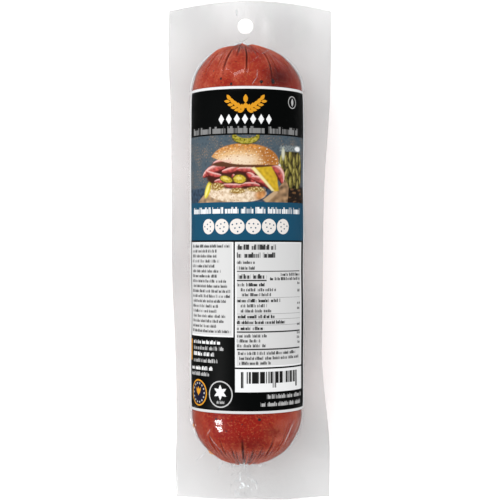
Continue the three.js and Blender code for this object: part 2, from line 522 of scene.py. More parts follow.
def film_web(side, sizes, shape):
    """One web of film on a single grid, from the pouch's foot edge to its head edge.

    Across, the columns are the left margin, the dome and the right margin. Along, the rows are the foot,
    the dome and the head; past the sausage's ends the dome's columns fan out flat. The margins run from the
    dome's base straight out to the pouch's edge. The hang hole is a block of the head's grid opened into a
    circle. Returns the points, the faces and the height of each point over the margin."""
    dome = film_dome(side, sizes, shape)
    head_pole, foot_pole = dome[-1, 0], dome[0, 0]
    fan = np.linspace(-1, 1, DOME_COLUMNS + 1)[None, :]

    up = np.linspace(0, 1, HEAD_ROWS + 1)[1:, None]
    head_x = (between(head_pole[0], HANG_HOLE[0], smooth(up * 4))
              + fan * FAN_REACH * smooth(up / 0.34 + 0.04))
    down = np.linspace(1, 0, FOOT_ROWS + 1)[:-1, None]
    foot_x = foot_pole[0] + fan * FAN_REACH * smooth(down / 0.5 + 0.04)
    middle_x = np.concatenate([foot_x, dome[..., 0], head_x])

    head_y = between(head_pole[1], head_edge(np.array(40 * MM)), up[:, 0])
    foot_y = between(foot_pole[1], foot_edge(np.array(38 * MM)), down[:, 0])
    inner_y = np.concatenate([foot_y, dome[:, 0, 1], head_y])[:, None]
    left_y = np.concatenate([foot_y, margin_rows(dome[:, 0]), head_y])[:, None]
    right_y = np.concatenate([foot_y, margin_rows(dome[:, -1]), head_y])[:, None]
    out = np.linspace(1, 0, MARGIN_COLUMNS + 1)[None, :-1]
    left = between(middle_x[:, :1], left_edge(left_y), out), between(inner_y, left_y, out)
    right = between(middle_x[:, -1:], right_edge(right_y), out), between(inner_y, right_y, out)

    x = np.concatenate([left[0], middle_x, right[0][:, ::-1]], axis=1)
    y = np.concatenate([left[1], np.repeat(inner_y, DOME_COLUMNS + 1, axis=1), right[1][:, ::-1]], axis=1)
    z = np.full_like(x, AXIS_Z)
    dome_rows = slice(FOOT_ROWS, FOOT_ROWS + dome.shape[0])
    dome_columns = slice(MARGIN_COLUMNS, MARGIN_COLUMNS + DOME_COLUMNS + 1)
    y[dome_rows, dome_columns] = dome[..., 1]
    z[dome_rows, dome_columns] = dome[..., 2]
    head_rows = slice(FOOT_ROWS + dome.shape[0], None)
    y[head_rows] = between(head_pole[1], head_edge(x[head_rows]), up)
    y[:FOOT_ROWS] = between(foot_pole[1], foot_edge(x[:FOOT_ROWS]), down)

    first_row = FOOT_ROWS + dome.shape[0] + HOLE_START
    first_column = MARGIN_COLUMNS + (DOME_COLUMNS - HOLE_COLUMNS) // 2
    x, y, inside = open_hole(x, y, first_row, first_column)

    rise = np.abs(z - AXIS_Z)
    z = z + margin_wave(x, y, sizes) * (1 - smooth(rise / (3 * MM)))
    z = z + side * (sizes.seam + sizes.thickness) / 2
    z = np.where(z < 2 * MM, level_off(z, BACK_LOW.z + sizes.thickness, 0.05 * MM), z)

    faces = grid_faces(*x.shape, closed=False)
    faces = faces[~inside.ravel()[faces].all(axis=1)]
    if side < 0:
        faces = faces[:, ::-1]
    on_dome = np.zeros(x.shape, bool)
    on_dome[dome_rows, dome_columns] = True
    return np.stack([x, y, z], -1), faces, np.where(on_dome, rise, -1 * MM)


# ---------------------------------------------------------------- shader wiring


class Wiring:
    """A node tree, with short calls for the nodes that this file uses."""

    def __init__(self, tree):
        self.tree = tree

    def feed(self, socket, value):
        """Links an output to a socket, or sets the socket to a plain value."""
        if isinstance(value, bpy.types.NodeSocket):
            self.tree.links.new(value, socket)
        else:
            socket.default_value = value

    def node(self, kind, feeds=None, **settings):
        """Adds a node, sets its settings and feeds its inputs by name or number."""
        made = self.tree.nodes.new(kind)
        count = len(self.tree.nodes)
        made.location = (190 * (count // 7), -190 * (count % 7))
        for name, value in settings.items():
            setattr(made, name, value)
        for name, value in (feeds or {}).items():
            self.feed(made.inputs[name], value)
        return made

    def math(self, operation, *values, clamp=False):
        """A Math node on the given values; clamp holds its result in 0..1."""
        made = self.node("ShaderNodeMath", dict(enumerate(values)), operation=operation, use_clamp=clamp)
        return made.outputs[0]

    def vector(self, operation, *values):
        """A Vector Math node on the given values."""
        made = self.node("ShaderNodeVectorMath", dict(enumerate(values)), operation=operation)
        return made.outputs["Value" if operation in ("LENGTH", "DISTANCE", "DOT_PRODUCT") else "Vector"]

    def paint(self, under, mask, colour):
        """Lays a colour over another where the mask is 1."""
        made = self.node("ShaderNodeMix", data_type="RGBA")
        self.feed(made.inputs["Factor"], mask)
        self.feed(made.inputs[6], (*under, 1) if isinstance(under, tuple) else under)
        self.feed(made.inputs[7], (*colour, 1) if isinstance(colour, tuple) else colour)
        return made.outputs[2]

    def blend(self, low, high, share):
        """The number that lies a share of the way from low to high."""
        made = self.node("ShaderNodeMix", {2: low, 3: high}, data_type="FLOAT")
        self.feed(made.inputs["Factor"], share)
        return made.outputs[0]

    def ramp(self, value, low, high):
        """0 at low and below, 1 at high and above, straight between."""
        made = self.node("ShaderNodeMapRange", {"Value": value, "From Min": low, "From Max": high})
        return made.outputs["Result"]

    def noise(self, place, size, detail=2.0, roughness=0.5, stretch=None):
        """Noise from 0 to 1 with features of about the given size in metres."""
        if stretch:
            place = self.vector("MULTIPLY", place, stretch)
        made = self.node("ShaderNodeTexNoise", {"Vector": place, "Scale": 1 / size, "Detail": detail,
                                                "Roughness": roughness})
        return made.outputs["Fac"]

    def attribute(self, name, output="Fac"):
        """What the mesh stores under a name."""
        return self.node("ShaderNodeAttribute", attribute_name=name).outputs[output]

    def place(self):
        """The point being shaded, in the object's own coordinates."""
        return self.node("ShaderNodeTexCoord").outputs["Object"]

    def group(self, tree, feeds):
        """Places a shared group and feeds its inputs; returns its outputs."""
        made = self.node("ShaderNodeGroup", node_tree=tree)
        for name, value in feeds.items():
            self.feed(made.inputs[name], value)
        return made.outputs


def new_group(name, inputs, outputs):
    """An empty shader group with float or vector inputs; returns its tree, its wiring and its sockets."""
    tree = bpy.data.node_groups.new(name, "ShaderNodeTree")
    for label, kind in inputs.items():
        tree.interface.new_socket(label, in_out="INPUT", socket_type=kind)
    for label, kind in outputs.items():
        tree.interface.new_socket(label, in_out="OUTPUT", socket_type=kind)
    wiring = Wiring(tree)
    source = wiring.node("NodeGroupInput").outputs
    sink = wiring.node("NodeGroupOutput").inputs
    return tree, wiring, source, sink


def new_material(name):
    """An empty node material; returns it, its wiring and its surface socket."""
    material = bpy.data.materials.new(name)
    material.use_nodes = True
    material.node_tree.nodes.clear()
    wiring = Wiring(material.node_tree)
    surface = wiring.node("ShaderNodeOutputMaterial").inputs["Surface"]
    return material, wiring, surface


FLOAT, VECTOR = "NodeSocketFloat", "NodeSocketVector"


def shared_group(name, build):
    """The named group, built the first time that it is asked for."""
    return bpy.data.node_groups.get(name) or build(name)


def build_crease(name):
    """A thin straight crease: 1 along the line from Start to End, falling off as a bell over Width, and
    fading out towards both ends. Only X and Y count."""
    tree, w, source, sink = new_group(
        name, {"Place": VECTOR, "Start": VECTOR, "End": VECTOR, "Width": FLOAT}, {"Mask": FLOAT})
    flat = (1, 1, 0)
    from_start = w.vector("MULTIPLY", w.vector("SUBTRACT", source["Place"], source["Start"]), flat)
    along = w.vector("MULTIPLY", w.vector("SUBTRACT", source["End"], source["Start"]), flat)
    length = w.vector("LENGTH", along)
    unit = w.vector("NORMALIZE", along)
    ahead = w.vector("DOT_PRODUCT", from_start, unit)
    total = w.vector("LENGTH", from_start)
    aside_squared = w.math("SUBTRACT", w.math("POWER", total, 2), w.math("POWER", ahead, 2))
    aside = w.math("SQRT", w.math("MAXIMUM", aside_squared, 0))
    narrow = w.math("POWER", w.math("DIVIDE", aside, source["Width"]), 2)
    line = w.math("EXPONENT", w.math("MULTIPLY", narrow, -1))
    share = w.math("DIVIDE", ahead, length)
    rising = w.ramp(share, 0, 0.25)
    falling = w.ramp(share, 1, 0.6)
    w.feed(sink["Mask"], w.math("MULTIPLY", line, w.math("MULTIPLY", rising, falling)))
    return tree


def build_flecks(name):
    """Irregular flecks of one size: where a noise of that size is over 1 - Amount."""
    tree, w, source, sink = new_group(
        name, {"Place": VECTOR, "Size": FLOAT, "Amount": FLOAT}, {"Mask": FLOAT})
    scale = w.math("DIVIDE", 1, source["Size"])
    cells = w.node("ShaderNodeTexNoise", {"Vector": source["Place"], "Scale": scale, "Detail": 3.0,
                                          "Roughness": 0.62})
    low = w.math("SUBTRACT", 1, source["Amount"])
    high = w.math("ADD", low, 0.09)
    w.feed(sink["Mask"], w.ramp(cells.outputs["Fac"], low, high))
    return tree


# ---------------------------------------------------------------- materials of the food


def meat_material(colours):
    """Skin from deep wet red to pale bloom, by the surface's own bloom value, which also lays painted
    highlights, painted light and painted reflections in the pale colour;
    with orange, pale and dark flecks; darkened by its shade value, which paints shade in the pleats'
    valleys."""
    material, w, surface = new_material("salami_skin")
    place = w.place()
    flecks = shared_group("flecks", build_flecks)
    broad = w.noise(place, 9 * MM, 3, 0.6)
    fine = w.noise(place, 1.5 * MM, 4, 0.7)
    bloom = w.math("ADD", w.attribute("bloom"), w.math("MULTIPLY", w.math("SUBTRACT", broad, 0.5), 0.5))
    bloom = w.math("ADD", bloom, w.math("MULTIPLY", w.math("SUBTRACT", fine, 0.5), 1.1), clamp=True)
    # High values lay the pale bloom colour: real dry skin in places, and painted highlights, painted light
    # and painted reflections in others.
    colour = w.paint(tuple(colours.wet), w.ramp(bloom, 0.0, 0.42), tuple(colours.red))
    colour = w.paint(colour, w.ramp(bloom, 0.48, 1.0), tuple(colours.bloom))
    orange = w.group(flecks, {"Place": place, "Size": 1.2 * MM, "Amount": 0.47})["Mask"]
    colour = w.paint(colour, w.math("MULTIPLY", orange, 0.3), tuple(colours.fat))
    far = w.vector("ADD", place, (0.3, 0.1, 0.2))
    pale = w.group(flecks, {"Place": far, "Size": 0.9 * MM, "Amount": 0.38})["Mask"]
    colour = w.paint(colour, w.math("MULTIPLY", pale, 0.42), (0.66, 0.26, 0.13))
    further = w.vector("ADD", place, (0.7, 0.4, 0.9))
    dark = w.group(flecks, {"Place": further, "Size": 1.2 * MM, "Amount": 0.41})["Mask"]
    colour = w.paint(colour, w.math("MULTIPLY", dark, 0.65), (0.075, 0.008, 0.006))
    # Painted shade in the pleats' valleys, and darker patches of the meat.
    colour = w.paint(colour, w.attribute("shade"), (0.045, 0.004, 0.004))
    height = w.math("ADD", w.math("MULTIPLY", fine, 0.12), w.math("MULTIPLY", broad, 0.3))
    bump = w.node("ShaderNodeBump", {"Height": height, "Distance": 0.5 * MM, "Strength": 0.5})
    skin = w.node("ShaderNodeBsdfPrincipled", {
        "Base Color": colour, "Roughness": w.blend(0.34, 0.55, bloom), "Normal": bump.outputs[0],
        "Specular IOR Level": 0.15, "Subsurface Weight": 0.1, "Subsurface Radius": (1.0, 0.3, 0.15),
        "Subsurface Scale": 1.2 * MM})
    w.feed(surface, skin.outputs[0])
    return material


def pepper_material(colours):
    """Matt black pepper with a browner grain."""
    material, w, surface = new_material("cracked_pepper")
    grain = w.noise(w.place(), 0.4 * MM, 3)
    colour = w.paint(tuple(colours.pepper), w.math("MULTIPLY", grain, 0.3), (0.06, 0.04, 0.035))
    flake = w.node("ShaderNodeBsdfPrincipled", {"Base Color": colour, "Roughness": 0.6})
    w.feed(surface, flake.outputs[0])
    return material


def fat_material():
    """Orange fat, clouded paler in places."""
    material, w, surface = new_material("rendered_fat")
    cloud = w.noise(w.place(), 1.5 * MM, 3)
    colour = w.paint((0.66, 0.22, 0.04), cloud, (0.72, 0.42, 0.2))
    bead = w.node("ShaderNodeBsdfPrincipled", {"Base Color": colour, "Roughness": 0.25,
                                               "Subsurface Weight": 0.2, "Subsurface Scale": 1 * MM})
    w.feed(surface, bead.outputs[0])
    return material


# ---------------------------------------------------------------- material of the film

# Creases in the film, in millimetres: start and end (x, y), width, and how strongly they show.
CREASES = (
    ((-27.7, -91.1), (-31.3, -94.7), 0.20, -1.6),
    ((-22.1, -102.8), (-27.4, -107.6), 0.22, 0.9),
    ((-13.4, -108.0), (-16.2, -112.6), 0.26, 1.0),
    ((-2.6, -109.2), (-2.2, -112.6), 0.26, 1.0),
    ((-6.7, 122.6), (-6.5, 119.0), 0.30, 1.3),
    ((10.8, 101.6), (5.0, 96.0), 0.16, 0.8),
    ((5.4, 96.6), (-1.2, 90.5), 0.14, 0.3),
    ((3.9, 88.6), (3.6, 83.6), 0.14, 0.6),
    ((3.8, 84.8), (0.8, 80.2), 0.14, 0.8),
    ((-19.0, -88.0), (-21.6, -92.6), 0.22, 0.5),
    ((-20.0, -92.0), (-13.5, -100.6), 0.24, 0.5),
    ((22.6, -84.0), (16.0, -99.0), 0.24, 0.6),
    ((26.6, -82.0), (20.4, -96.4), 0.20, 0.5),
)


def build_film_relief(name):
    """What the eye catches in clear film: creases, faint diagonal ribs by the corners and soft rumples.
    Gives a Height for bump, and White: painted highlights along the creases, painted glints on the crinkles
    at the foot and on the gathered film below the bottom end, and a faint white of the ribs."""
    tree, w, source, sink = new_group(name, {"Place": VECTOR}, {"Height": FLOAT, "White": FLOAT})
    place = source["Place"]
    crease = shared_group("film_crease", build_crease)
    height = 0.0
    for start, end, width, strength in CREASES:
        feeds = {"Place": place, "Start": (start[0] * MM, start[1] * MM, 0),
                 "End": (end[0] * MM, end[1] * MM, 0), "Width": width * MM}
        height = w.math("ADD", height, w.math("MULTIPLY", w.group(crease, feeds)["Mask"], strength))
    # Painted highlights along the creases that rise.
    white = w.math("MULTIPLY", w.math("MAXIMUM", height, 0), 0.32)
    height = w.math("MULTIPLY", height, 0.3)
    split = w.node("ShaderNodeSeparateXYZ", {0: place}).outputs
    at_foot = w.math("MULTIPLY", w.ramp(split["Y"], -113 * MM, -117 * MM),
                     w.ramp(split["Y"], -125 * MM, -122 * MM))
    at_middle = w.ramp(w.math("ABSOLUTE", w.math("ADD", split["X"], 2.5 * MM)), 8 * MM, 3 * MM)
    # Painted glints on the crinkled film at the foot.
    specks = w.ramp(w.noise(place, 1.3 * MM, 2, 0.5, (1.0, 0.55, 1.0)), 0.60, 0.68)
    specks = w.math("MULTIPLY", specks, w.math("MULTIPLY", at_foot, at_middle))
    white = w.math("ADD", white, w.math("MULTIPLY", specks, 0.7))
    # Painted glints on the crumpled, gathered film below the bottom end.
    gathered = w.math("MULTIPLY", w.ramp(split["Y"], -106.2 * MM, -107.6 * MM),
                      w.ramp(split["Y"], -110.8 * MM, -109.4 * MM))
    gathered = w.math("MULTIPLY", gathered, w.ramp(w.math("ABSOLUTE", w.math("ADD", split["X"], 2 * MM)),
                                                   11 * MM, 7 * MM))
    crumple = w.ramp(w.noise(place, 1.1 * MM, 3, 0.6), 0.50, 0.62)
    white = w.math("ADD", white, w.math("MULTIPLY", w.math("MULTIPLY", gathered, crumple), 0.5))
    slant = w.math("ADD", w.math("MULTIPLY", split["X"], 0.62), w.math("MULTIPLY", split["Y"], 0.78))
    wobble = w.math("MULTIPLY", w.noise(place, 14 * MM, 2), 2.4 * MM)
    ribs = w.math("SINE", w.math("MULTIPLY", w.math("ADD", slant, wobble), 2 * math.pi / (0.95 * MM)))
    upper = w.math("MULTIPLY", w.ramp(split["X"], 2 * MM, 18 * MM), w.ramp(split["Y"], 60 * MM, 100 * MM))
    lower = w.ramp(split["Y"], -108 * MM, -118 * MM)
    ribbed = w.math("MULTIPLY", w.math("MAXIMUM", upper, lower), w.ramp(w.noise(place, 20 * MM), 0.4, 0.6))
    ribs = w.math("MULTIPLY", ribs, ribbed)
    white = w.math("ADD", white, w.math("MULTIPLY", w.math("MAXIMUM", ribs, 0), 0.05))
    rumple = w.noise(place, 7 * MM, 3, 0.6)
    height = w.math("ADD", height, w.math("MULTIPLY", ribs, 0.10))
    height = w.math("ADD", height, w.math("MULTIPLY", rumple, 0.25))
    w.feed(sink["Height"], height)
    w.feed(sink["White"], white)
    return tree


def film_material(sizes):
    """Clear film: light goes through, but for the haze that its points carry. It mirrors more where it is
    seen edge on, by the fifth power of how edge on it is."""
    material, w, surface = new_material("clear_film")
    relief = w.group(shared_group("film_relief", build_film_relief), {"Place": w.place()})
    bump = w.node("ShaderNodeBump", {"Height": relief["Height"], "Distance": 0.25 * MM, "Strength": 0.6})
    # The white value holds painted highlights and glints, from the points and from the relief.
    white = w.math("ADD", w.attribute("white"), relief["White"], clamp=True)
    haze = w.math("ADD", w.attribute("haze"), white, clamp=True)
    hue = w.paint(tuple(sizes.haze_colour), w.ramp(white, 0.0, 0.2), (0.84, 0.87, 0.89))
    body = w.node("ShaderNodeBsdfPrincipled", {
        "Base Color": hue, "Roughness": 0.5, "Specular IOR Level": 0.0, "Alpha": haze,
        "Normal": bump.outputs[0]})
    gloss = w.node("ShaderNodeBsdfGlossy", {"Color": (1, 1, 1, 1), "Roughness": 0.08,
                                            "Normal": bump.outputs[0]})
    edge_on = w.node("ShaderNodeLayerWeight", {"Blend": 0.5}).outputs["Facing"]
    mirror = w.math("ADD", w.math("MULTIPLY", w.math("POWER", edge_on, 5), 0.6), 0.03)
    sheet = w.node("ShaderNodeMixShader", {0: mirror, 1: body.outputs[0], 2: gloss.outputs[0]})
    w.feed(surface, sheet.outputs[0])
    return material


# ---------------------------------------------------------------- the label's print

# The print is laid out in millimetres on the label laid flat: "across" is counted from the middle line,
# and "along" from the middle of the length, towards the hang hole.

LABEL_TURN = math.radians(88.3)
HALF_ACROSS = (RADIUS / MM + 0.95) * LABEL_TURN     # 0.95 is the usual standoff and thickness together


def build_box_mask(name):
    """1 inside the rectangle Left..Right by Low..High."""
    keys = ("Across", "Along", "Left", "Right", "Low", "High")
    tree, w, source, sink = new_group(name, {key: FLOAT for key in keys}, {"Mask": FLOAT})
    sides = (w.math("GREATER_THAN", source["Across"], source["Left"]),
             w.math("LESS_THAN", source["Across"], source["Right"]),
             w.math("GREATER_THAN", source["Along"], source["Low"]),
             w.math("LESS_THAN", source["Along"], source["High"]))
    width = w.math("MULTIPLY", sides[0], sides[1])
    height = w.math("MULTIPLY", sides[2], sides[3])
    w.feed(sink["Mask"], w.math("MULTIPLY", width, height))
    return tree


def build_ring_mask(name):
    """Disc is 1 within Radius of the centre, and Ring is 1 within Width inside its edge."""
    keys = ("Across", "Along", "Centre across", "Centre along", "Radius", "Width")
    tree, w, source, sink = new_group(name, {key: FLOAT for key in keys}, {"Disc": FLOAT, "Ring": FLOAT})
    aside = w.math("SUBTRACT", source["Across"], source["Centre across"])
    above = w.math("SUBTRACT", source["Along"], source["Centre along"])
    distance = w.math("SQRT", w.math("ADD", w.math("POWER", aside, 2), w.math("POWER", above, 2)))
    disc = w.math("LESS_THAN", distance, source["Radius"])
    inner = w.math("LESS_THAN", distance, w.math("SUBTRACT", source["Radius"], source["Width"]))
    w.feed(sink["Disc"], disc)
    w.feed(sink["Ring"], w.math("SUBTRACT", disc, inner))
    return tree


def build_leaf_mask(name):
    """A leaf or a lozenge of a given Length and Width, turned by Turn radians about its middle: 1 where the
    distance across it is less than half of Width times 1 - |place along it|^Power."""
    keys = ("Across", "Along", "Centre across", "Centre along", "Length", "Width", "Turn", "Power")
    tree, w, source, sink = new_group(name, {key: FLOAT for key in keys}, {"Mask": FLOAT})
    aside = w.math("SUBTRACT", source["Across"], source["Centre across"])
    above = w.math("SUBTRACT", source["Along"], source["Centre along"])
    cosine = w.math("COSINE", source["Turn"])
    sine = w.math("SINE", source["Turn"])
    lengthwise = w.math("ADD", w.math("MULTIPLY", aside, cosine), w.math("MULTIPLY", above, sine))
    sideways = w.math("SUBTRACT", w.math("MULTIPLY", above, cosine), w.math("MULTIPLY", aside, sine))
    share = w.math("DIVIDE", w.math("ABSOLUTE", lengthwise), w.math("DIVIDE", source["Length"], 2))
    bulge = w.math("MAXIMUM", w.math("SUBTRACT", 1, w.math("POWER", share, source["Power"])), 0)
    allowed = w.math("MULTIPLY", w.math("DIVIDE", source["Width"], 2), bulge)
    w.feed(sink["Mask"], w.math("LESS_THAN", w.math("ABSOLUTE", sideways), allowed))
    return tree


def build_line_mask(name):
    """Rows that look as small set type does from afar, with no letters in them. Each row is broken into
    words by gaps, the words into soft upright marks by noise, and the top of a row shows only here and
    there. Ragged shortens each row at its right end by a chance share of it."""
    keys = ("Across", "Along", "Left", "Right", "Low", "High", "Pitch", "Stroke", "Letter", "Ragged",
            "Seed")
    tree, w, source, sink = new_group(name, {key: FLOAT for key in keys}, {"Mask": FLOAT})
    box = shared_group("box_mask", build_box_mask)
    down = w.math("DIVIDE", w.math("SUBTRACT", source["High"], source["Along"]), source["Pitch"])
    key = w.math("ADD", w.math("MULTIPLY", w.math("FLOOR", down), 7.31), source["Seed"])
    depth = w.math("DIVIDE", w.math("FRACT", down), source["Stroke"])

    def marks(letters, shift):
        """Noise along the row, with features of that many letters."""
        step = w.math("DIVIDE", source["Across"], w.math("MULTIPLY", source["Letter"], letters))
        place = w.node("ShaderNodeCombineXYZ", {"X": step, "Y": w.math("ADD", key, shift)}).outputs[0]
        return w.node("ShaderNodeTexNoise", {"Vector": place, "Scale": 1.0, "Detail": 0.0}).outputs["Fac"]

    step = w.math("DIVIDE", source["Across"], w.math("MULTIPLY", source["Letter"], 5.5))
    step = w.math("ADD", w.math("ADD", step, key), w.math("MULTIPLY", marks(4.5, 40), 0.5))
    words = w.math("LESS_THAN", w.math("FRACT", step), 0.87)
    letters = w.blend(0.30, 1.0, w.ramp(marks(0.62, 80), 0.36, 0.50))
    tall = w.math("MAXIMUM", w.math("GREATER_THAN", depth, 0.28),
                  w.math("GREATER_THAN", marks(0.9, 120), 0.54))
    within = w.math("MULTIPLY", w.math("LESS_THAN", depth, 1), tall)
    chance = w.node("ShaderNodeTexWhiteNoise", {"W": key}, noise_dimensions="1D").outputs["Value"]
    right = w.math("SUBTRACT", source["Right"], w.math("MULTIPLY", chance, source["Ragged"]))
    edges = {"Across": source["Across"], "Along": source["Along"], "Left": source["Left"], "Right": right,
             "Low": source["Low"], "High": source["High"]}
    inside = w.math("MULTIPLY", w.group(box, edges)["Mask"], within)
    w.feed(sink["Mask"], w.math("MULTIPLY", inside, w.math("MULTIPLY", words, letters)))
    return tree


def build_bar_mask(name):
    """Upright bars, all as tall as the rectangle: each thin strip gets a chance depth of ink."""
    keys = ("Across", "Along", "Left", "Right", "Low", "High", "Strip")
    tree, w, source, sink = new_group(name, {key: FLOAT for key in keys}, {"Mask": FLOAT})
    box = shared_group("box_mask", build_box_mask)
    strip = w.math("FLOOR", w.math("DIVIDE", source["Across"], source["Strip"]))
    chance = w.node("ShaderNodeTexWhiteNoise", {"W": strip}, noise_dimensions="1D").outputs["Value"]
    ink = w.ramp(chance, 0.10, 0.42)
    edges = {key: source[key] for key in keys[:6]}
    w.feed(sink["Mask"], w.math("MULTIPLY", ink, w.group(box, edges)["Mask"]))
    return tree


class Print:
    """The layers of one zone of the label, laid one over the other. The label is printed in zones along its
    length, each with its own material, because a material holds only so many layers before it renders
    black. A layer that lies outside the zone is left out of it."""

    def __init__(self, wiring, start, zone):
        self.w = wiring
        self.colour = start
        self.low, self.high = zone
        flat = wiring.node("ShaderNodeUVMap", uv_map="print").outputs[0]
        split = wiring.node("ShaderNodeSeparateXYZ", {0: flat})
        self.place = {"Across": split.outputs["X"], "Along": split.outputs["Y"]}

    def reaches(self, low, high):
        """Whether any of low..high lies in the zone."""
        return low < self.high and high > self.low

    def lay(self, mask, colour):
        """Prints an ink where the mask is 1."""
        self.colour = self.w.paint(self.colour, mask, colour)

    def mask(self, name, build, feeds):
        """The outputs of a shared mask group, placed on the flat label."""
        return self.w.group(shared_group(name, build), self.place | feeds)

    def box(self, left, right, low, high, colour):
        """A rectangle."""
        if self.reaches(low, high):
            edges = {"Left": left, "Right": right, "Low": low, "High": high}
            self.lay(self.mask("box_mask", build_box_mask, edges)["Mask"], colour)

    def lines(self, left, right, low, high, colour, pitch, stroke=0.6, letter=0.8, ragged=0.0):
        """Rows of greeked type, a pitch apart; stroke is the inked share of the pitch."""
        if self.reaches(low, high):
            feeds = {"Left": left, "Right": right, "Low": low, "High": high, "Pitch": pitch,
                     "Stroke": stroke, "Letter": letter, "Ragged": ragged, "Seed": left + 2.7 * high}
            self.lay(self.mask("line_mask", build_line_mask, feeds)["Mask"], colour)

    def row(self, left, right, centre, height, colour, letter=0.8):
        """One row of type, seen from afar."""
        low, high = centre - height / 2, centre + height / 2
        self.lines(left, right, low, high, colour, pitch=height * 1.01, stroke=1.0, letter=letter)

    def ring(self, across, along, radius, width, colour, fill=None):
        """A ring, with the disc inside it filled if a fill is given."""
        if not self.reaches(along - radius, along + radius):
            return
        feeds = {"Centre across": across, "Centre along": along, "Radius": radius, "Width": width}
        masks = self.mask("ring_mask", build_ring_mask, feeds)
        if fill is not None:
            self.lay(masks["Disc"], fill)
        self.lay(masks["Ring"], colour)

    def dot(self, across, along, radius, colour):
        """A filled disc."""
        self.ring(across, along, radius, radius, colour)

    def leaf(self, across, along, length, width, turn, colour, power=2.0):
        """A leaf, or a lozenge where the power is 1."""
        if self.reaches(along - length, along + length):
            feeds = {"Centre across": across, "Centre along": along, "Length": length, "Width": width,
                     "Turn": turn, "Power": power}
            self.lay(self.mask("leaf_mask", build_leaf_mask, feeds)["Mask"], colour)

    def bars(self, left, right, low, high, colour, strip=0.5):
        """A rectangle of upright bars of chance depth."""
        if self.reaches(low, high):
            feeds = {"Left": left, "Right": right, "Low": low, "High": high, "Strip": strip}
            self.lay(self.mask("bar_mask", build_bar_mask, feeds)["Mask"], colour)


PICTURE_LOW, PICTURE_HIGH = 23.4, 56.2
BAND_LOW = 4.8                  # the foot of the blue band
TABLE_HIGH = 3.9
TABLE_RIGHT = 35.5
MIDDLE_BAR = -6.6, -5.8         # the black gap between the left column and the table
TABLE_MIDDLE = -22.75           # where one zone of the table ends and the next begins
FOOT_HIGH = -43.0               # where the table's zones end and the foot's begin
BADGES_HIGH = -61.5             # where the zone of the foot's badges begins
PAST_SIDE, PAST_END = 50, 90    # places past the label's sides and ends, to which its grounds run
PAST_BORDERS = 99               # a place past the grounds, to which its white borders run


def sprig(p, gold):
    """A plain gold sprig: two arms of broad leaves that curve up on either side of a dot and one bud."""
    for step in range(5):
        out = 1.5 + 1.7 * step
        rise = 68.2 + 0.55 * step + 0.17 * step * step
        for hand in (-1, 1):
            p.leaf(hand * out - 0.6, rise + 1.3, 3.7, 1.8, math.pi / 2 - hand * (0.25 + 0.1 * step), gold)
            p.leaf(hand * (out + 0.9) - 0.6, rise - 0.5, 3.1, 1.5, hand * (0.1 * step - 0.3), gold)
    p.dot(-0.6, 70.4, 1.2, gold)
    p.leaf(-0.6, 73.8, 4.4, 2.2, math.pi / 2, gold)


def print_front(p, inks):
    """The black head with its ornament and rules, the picture, and the blue band with its row of slices."""
    white, black, blue = tuple(inks.paper), tuple(inks.black), tuple(inks.blue)
    p.box(-PAST_SIDE, PAST_SIDE, PICTURE_HIGH, PAST_END, black)
    sprig(p, tuple(inks.gold))
    for step in range(7):
        p.leaf(-12.9 + 4.0 * step, 63.9, 5.0, 3.0, math.pi / 2, white, power=1.0)
    p.row(-33.4, 30.9, 58.7, 3.4, (0.20, 0.20, 0.20), letter=1.7)
    p.ring(25.6, 73.0, 3.1, 0.42, (0.45, 0.45, 0.45))
    p.leaf(25.6, 73.0, 4.0, 1.7, math.pi / 2, (0.45, 0.45, 0.45))
    p.box(-PAST_SIDE, PAST_SIDE, PICTURE_LOW, PICTURE_HIGH, p.w.attribute("picture", "Color"))
    p.box(-PAST_SIDE, PAST_SIDE, BAND_LOW, PICTURE_LOW, blue)
    p.row(-34.3, 33.1, 19.4, 3.1, white, letter=1.35)
    for step in range(6):
        centre = -20.8 + 8.0 * step
        p.dot(centre, 11.5, 3.75, tuple(inks.cream))
        for speck in range(6):
            turn = 1.9 * step + 1.05 * speck
            reach = 2.5 if speck % 2 else 1.3
            p.dot(centre + reach * math.cos(turn), 11.5 + reach * math.sin(turn), 0.38, blue)


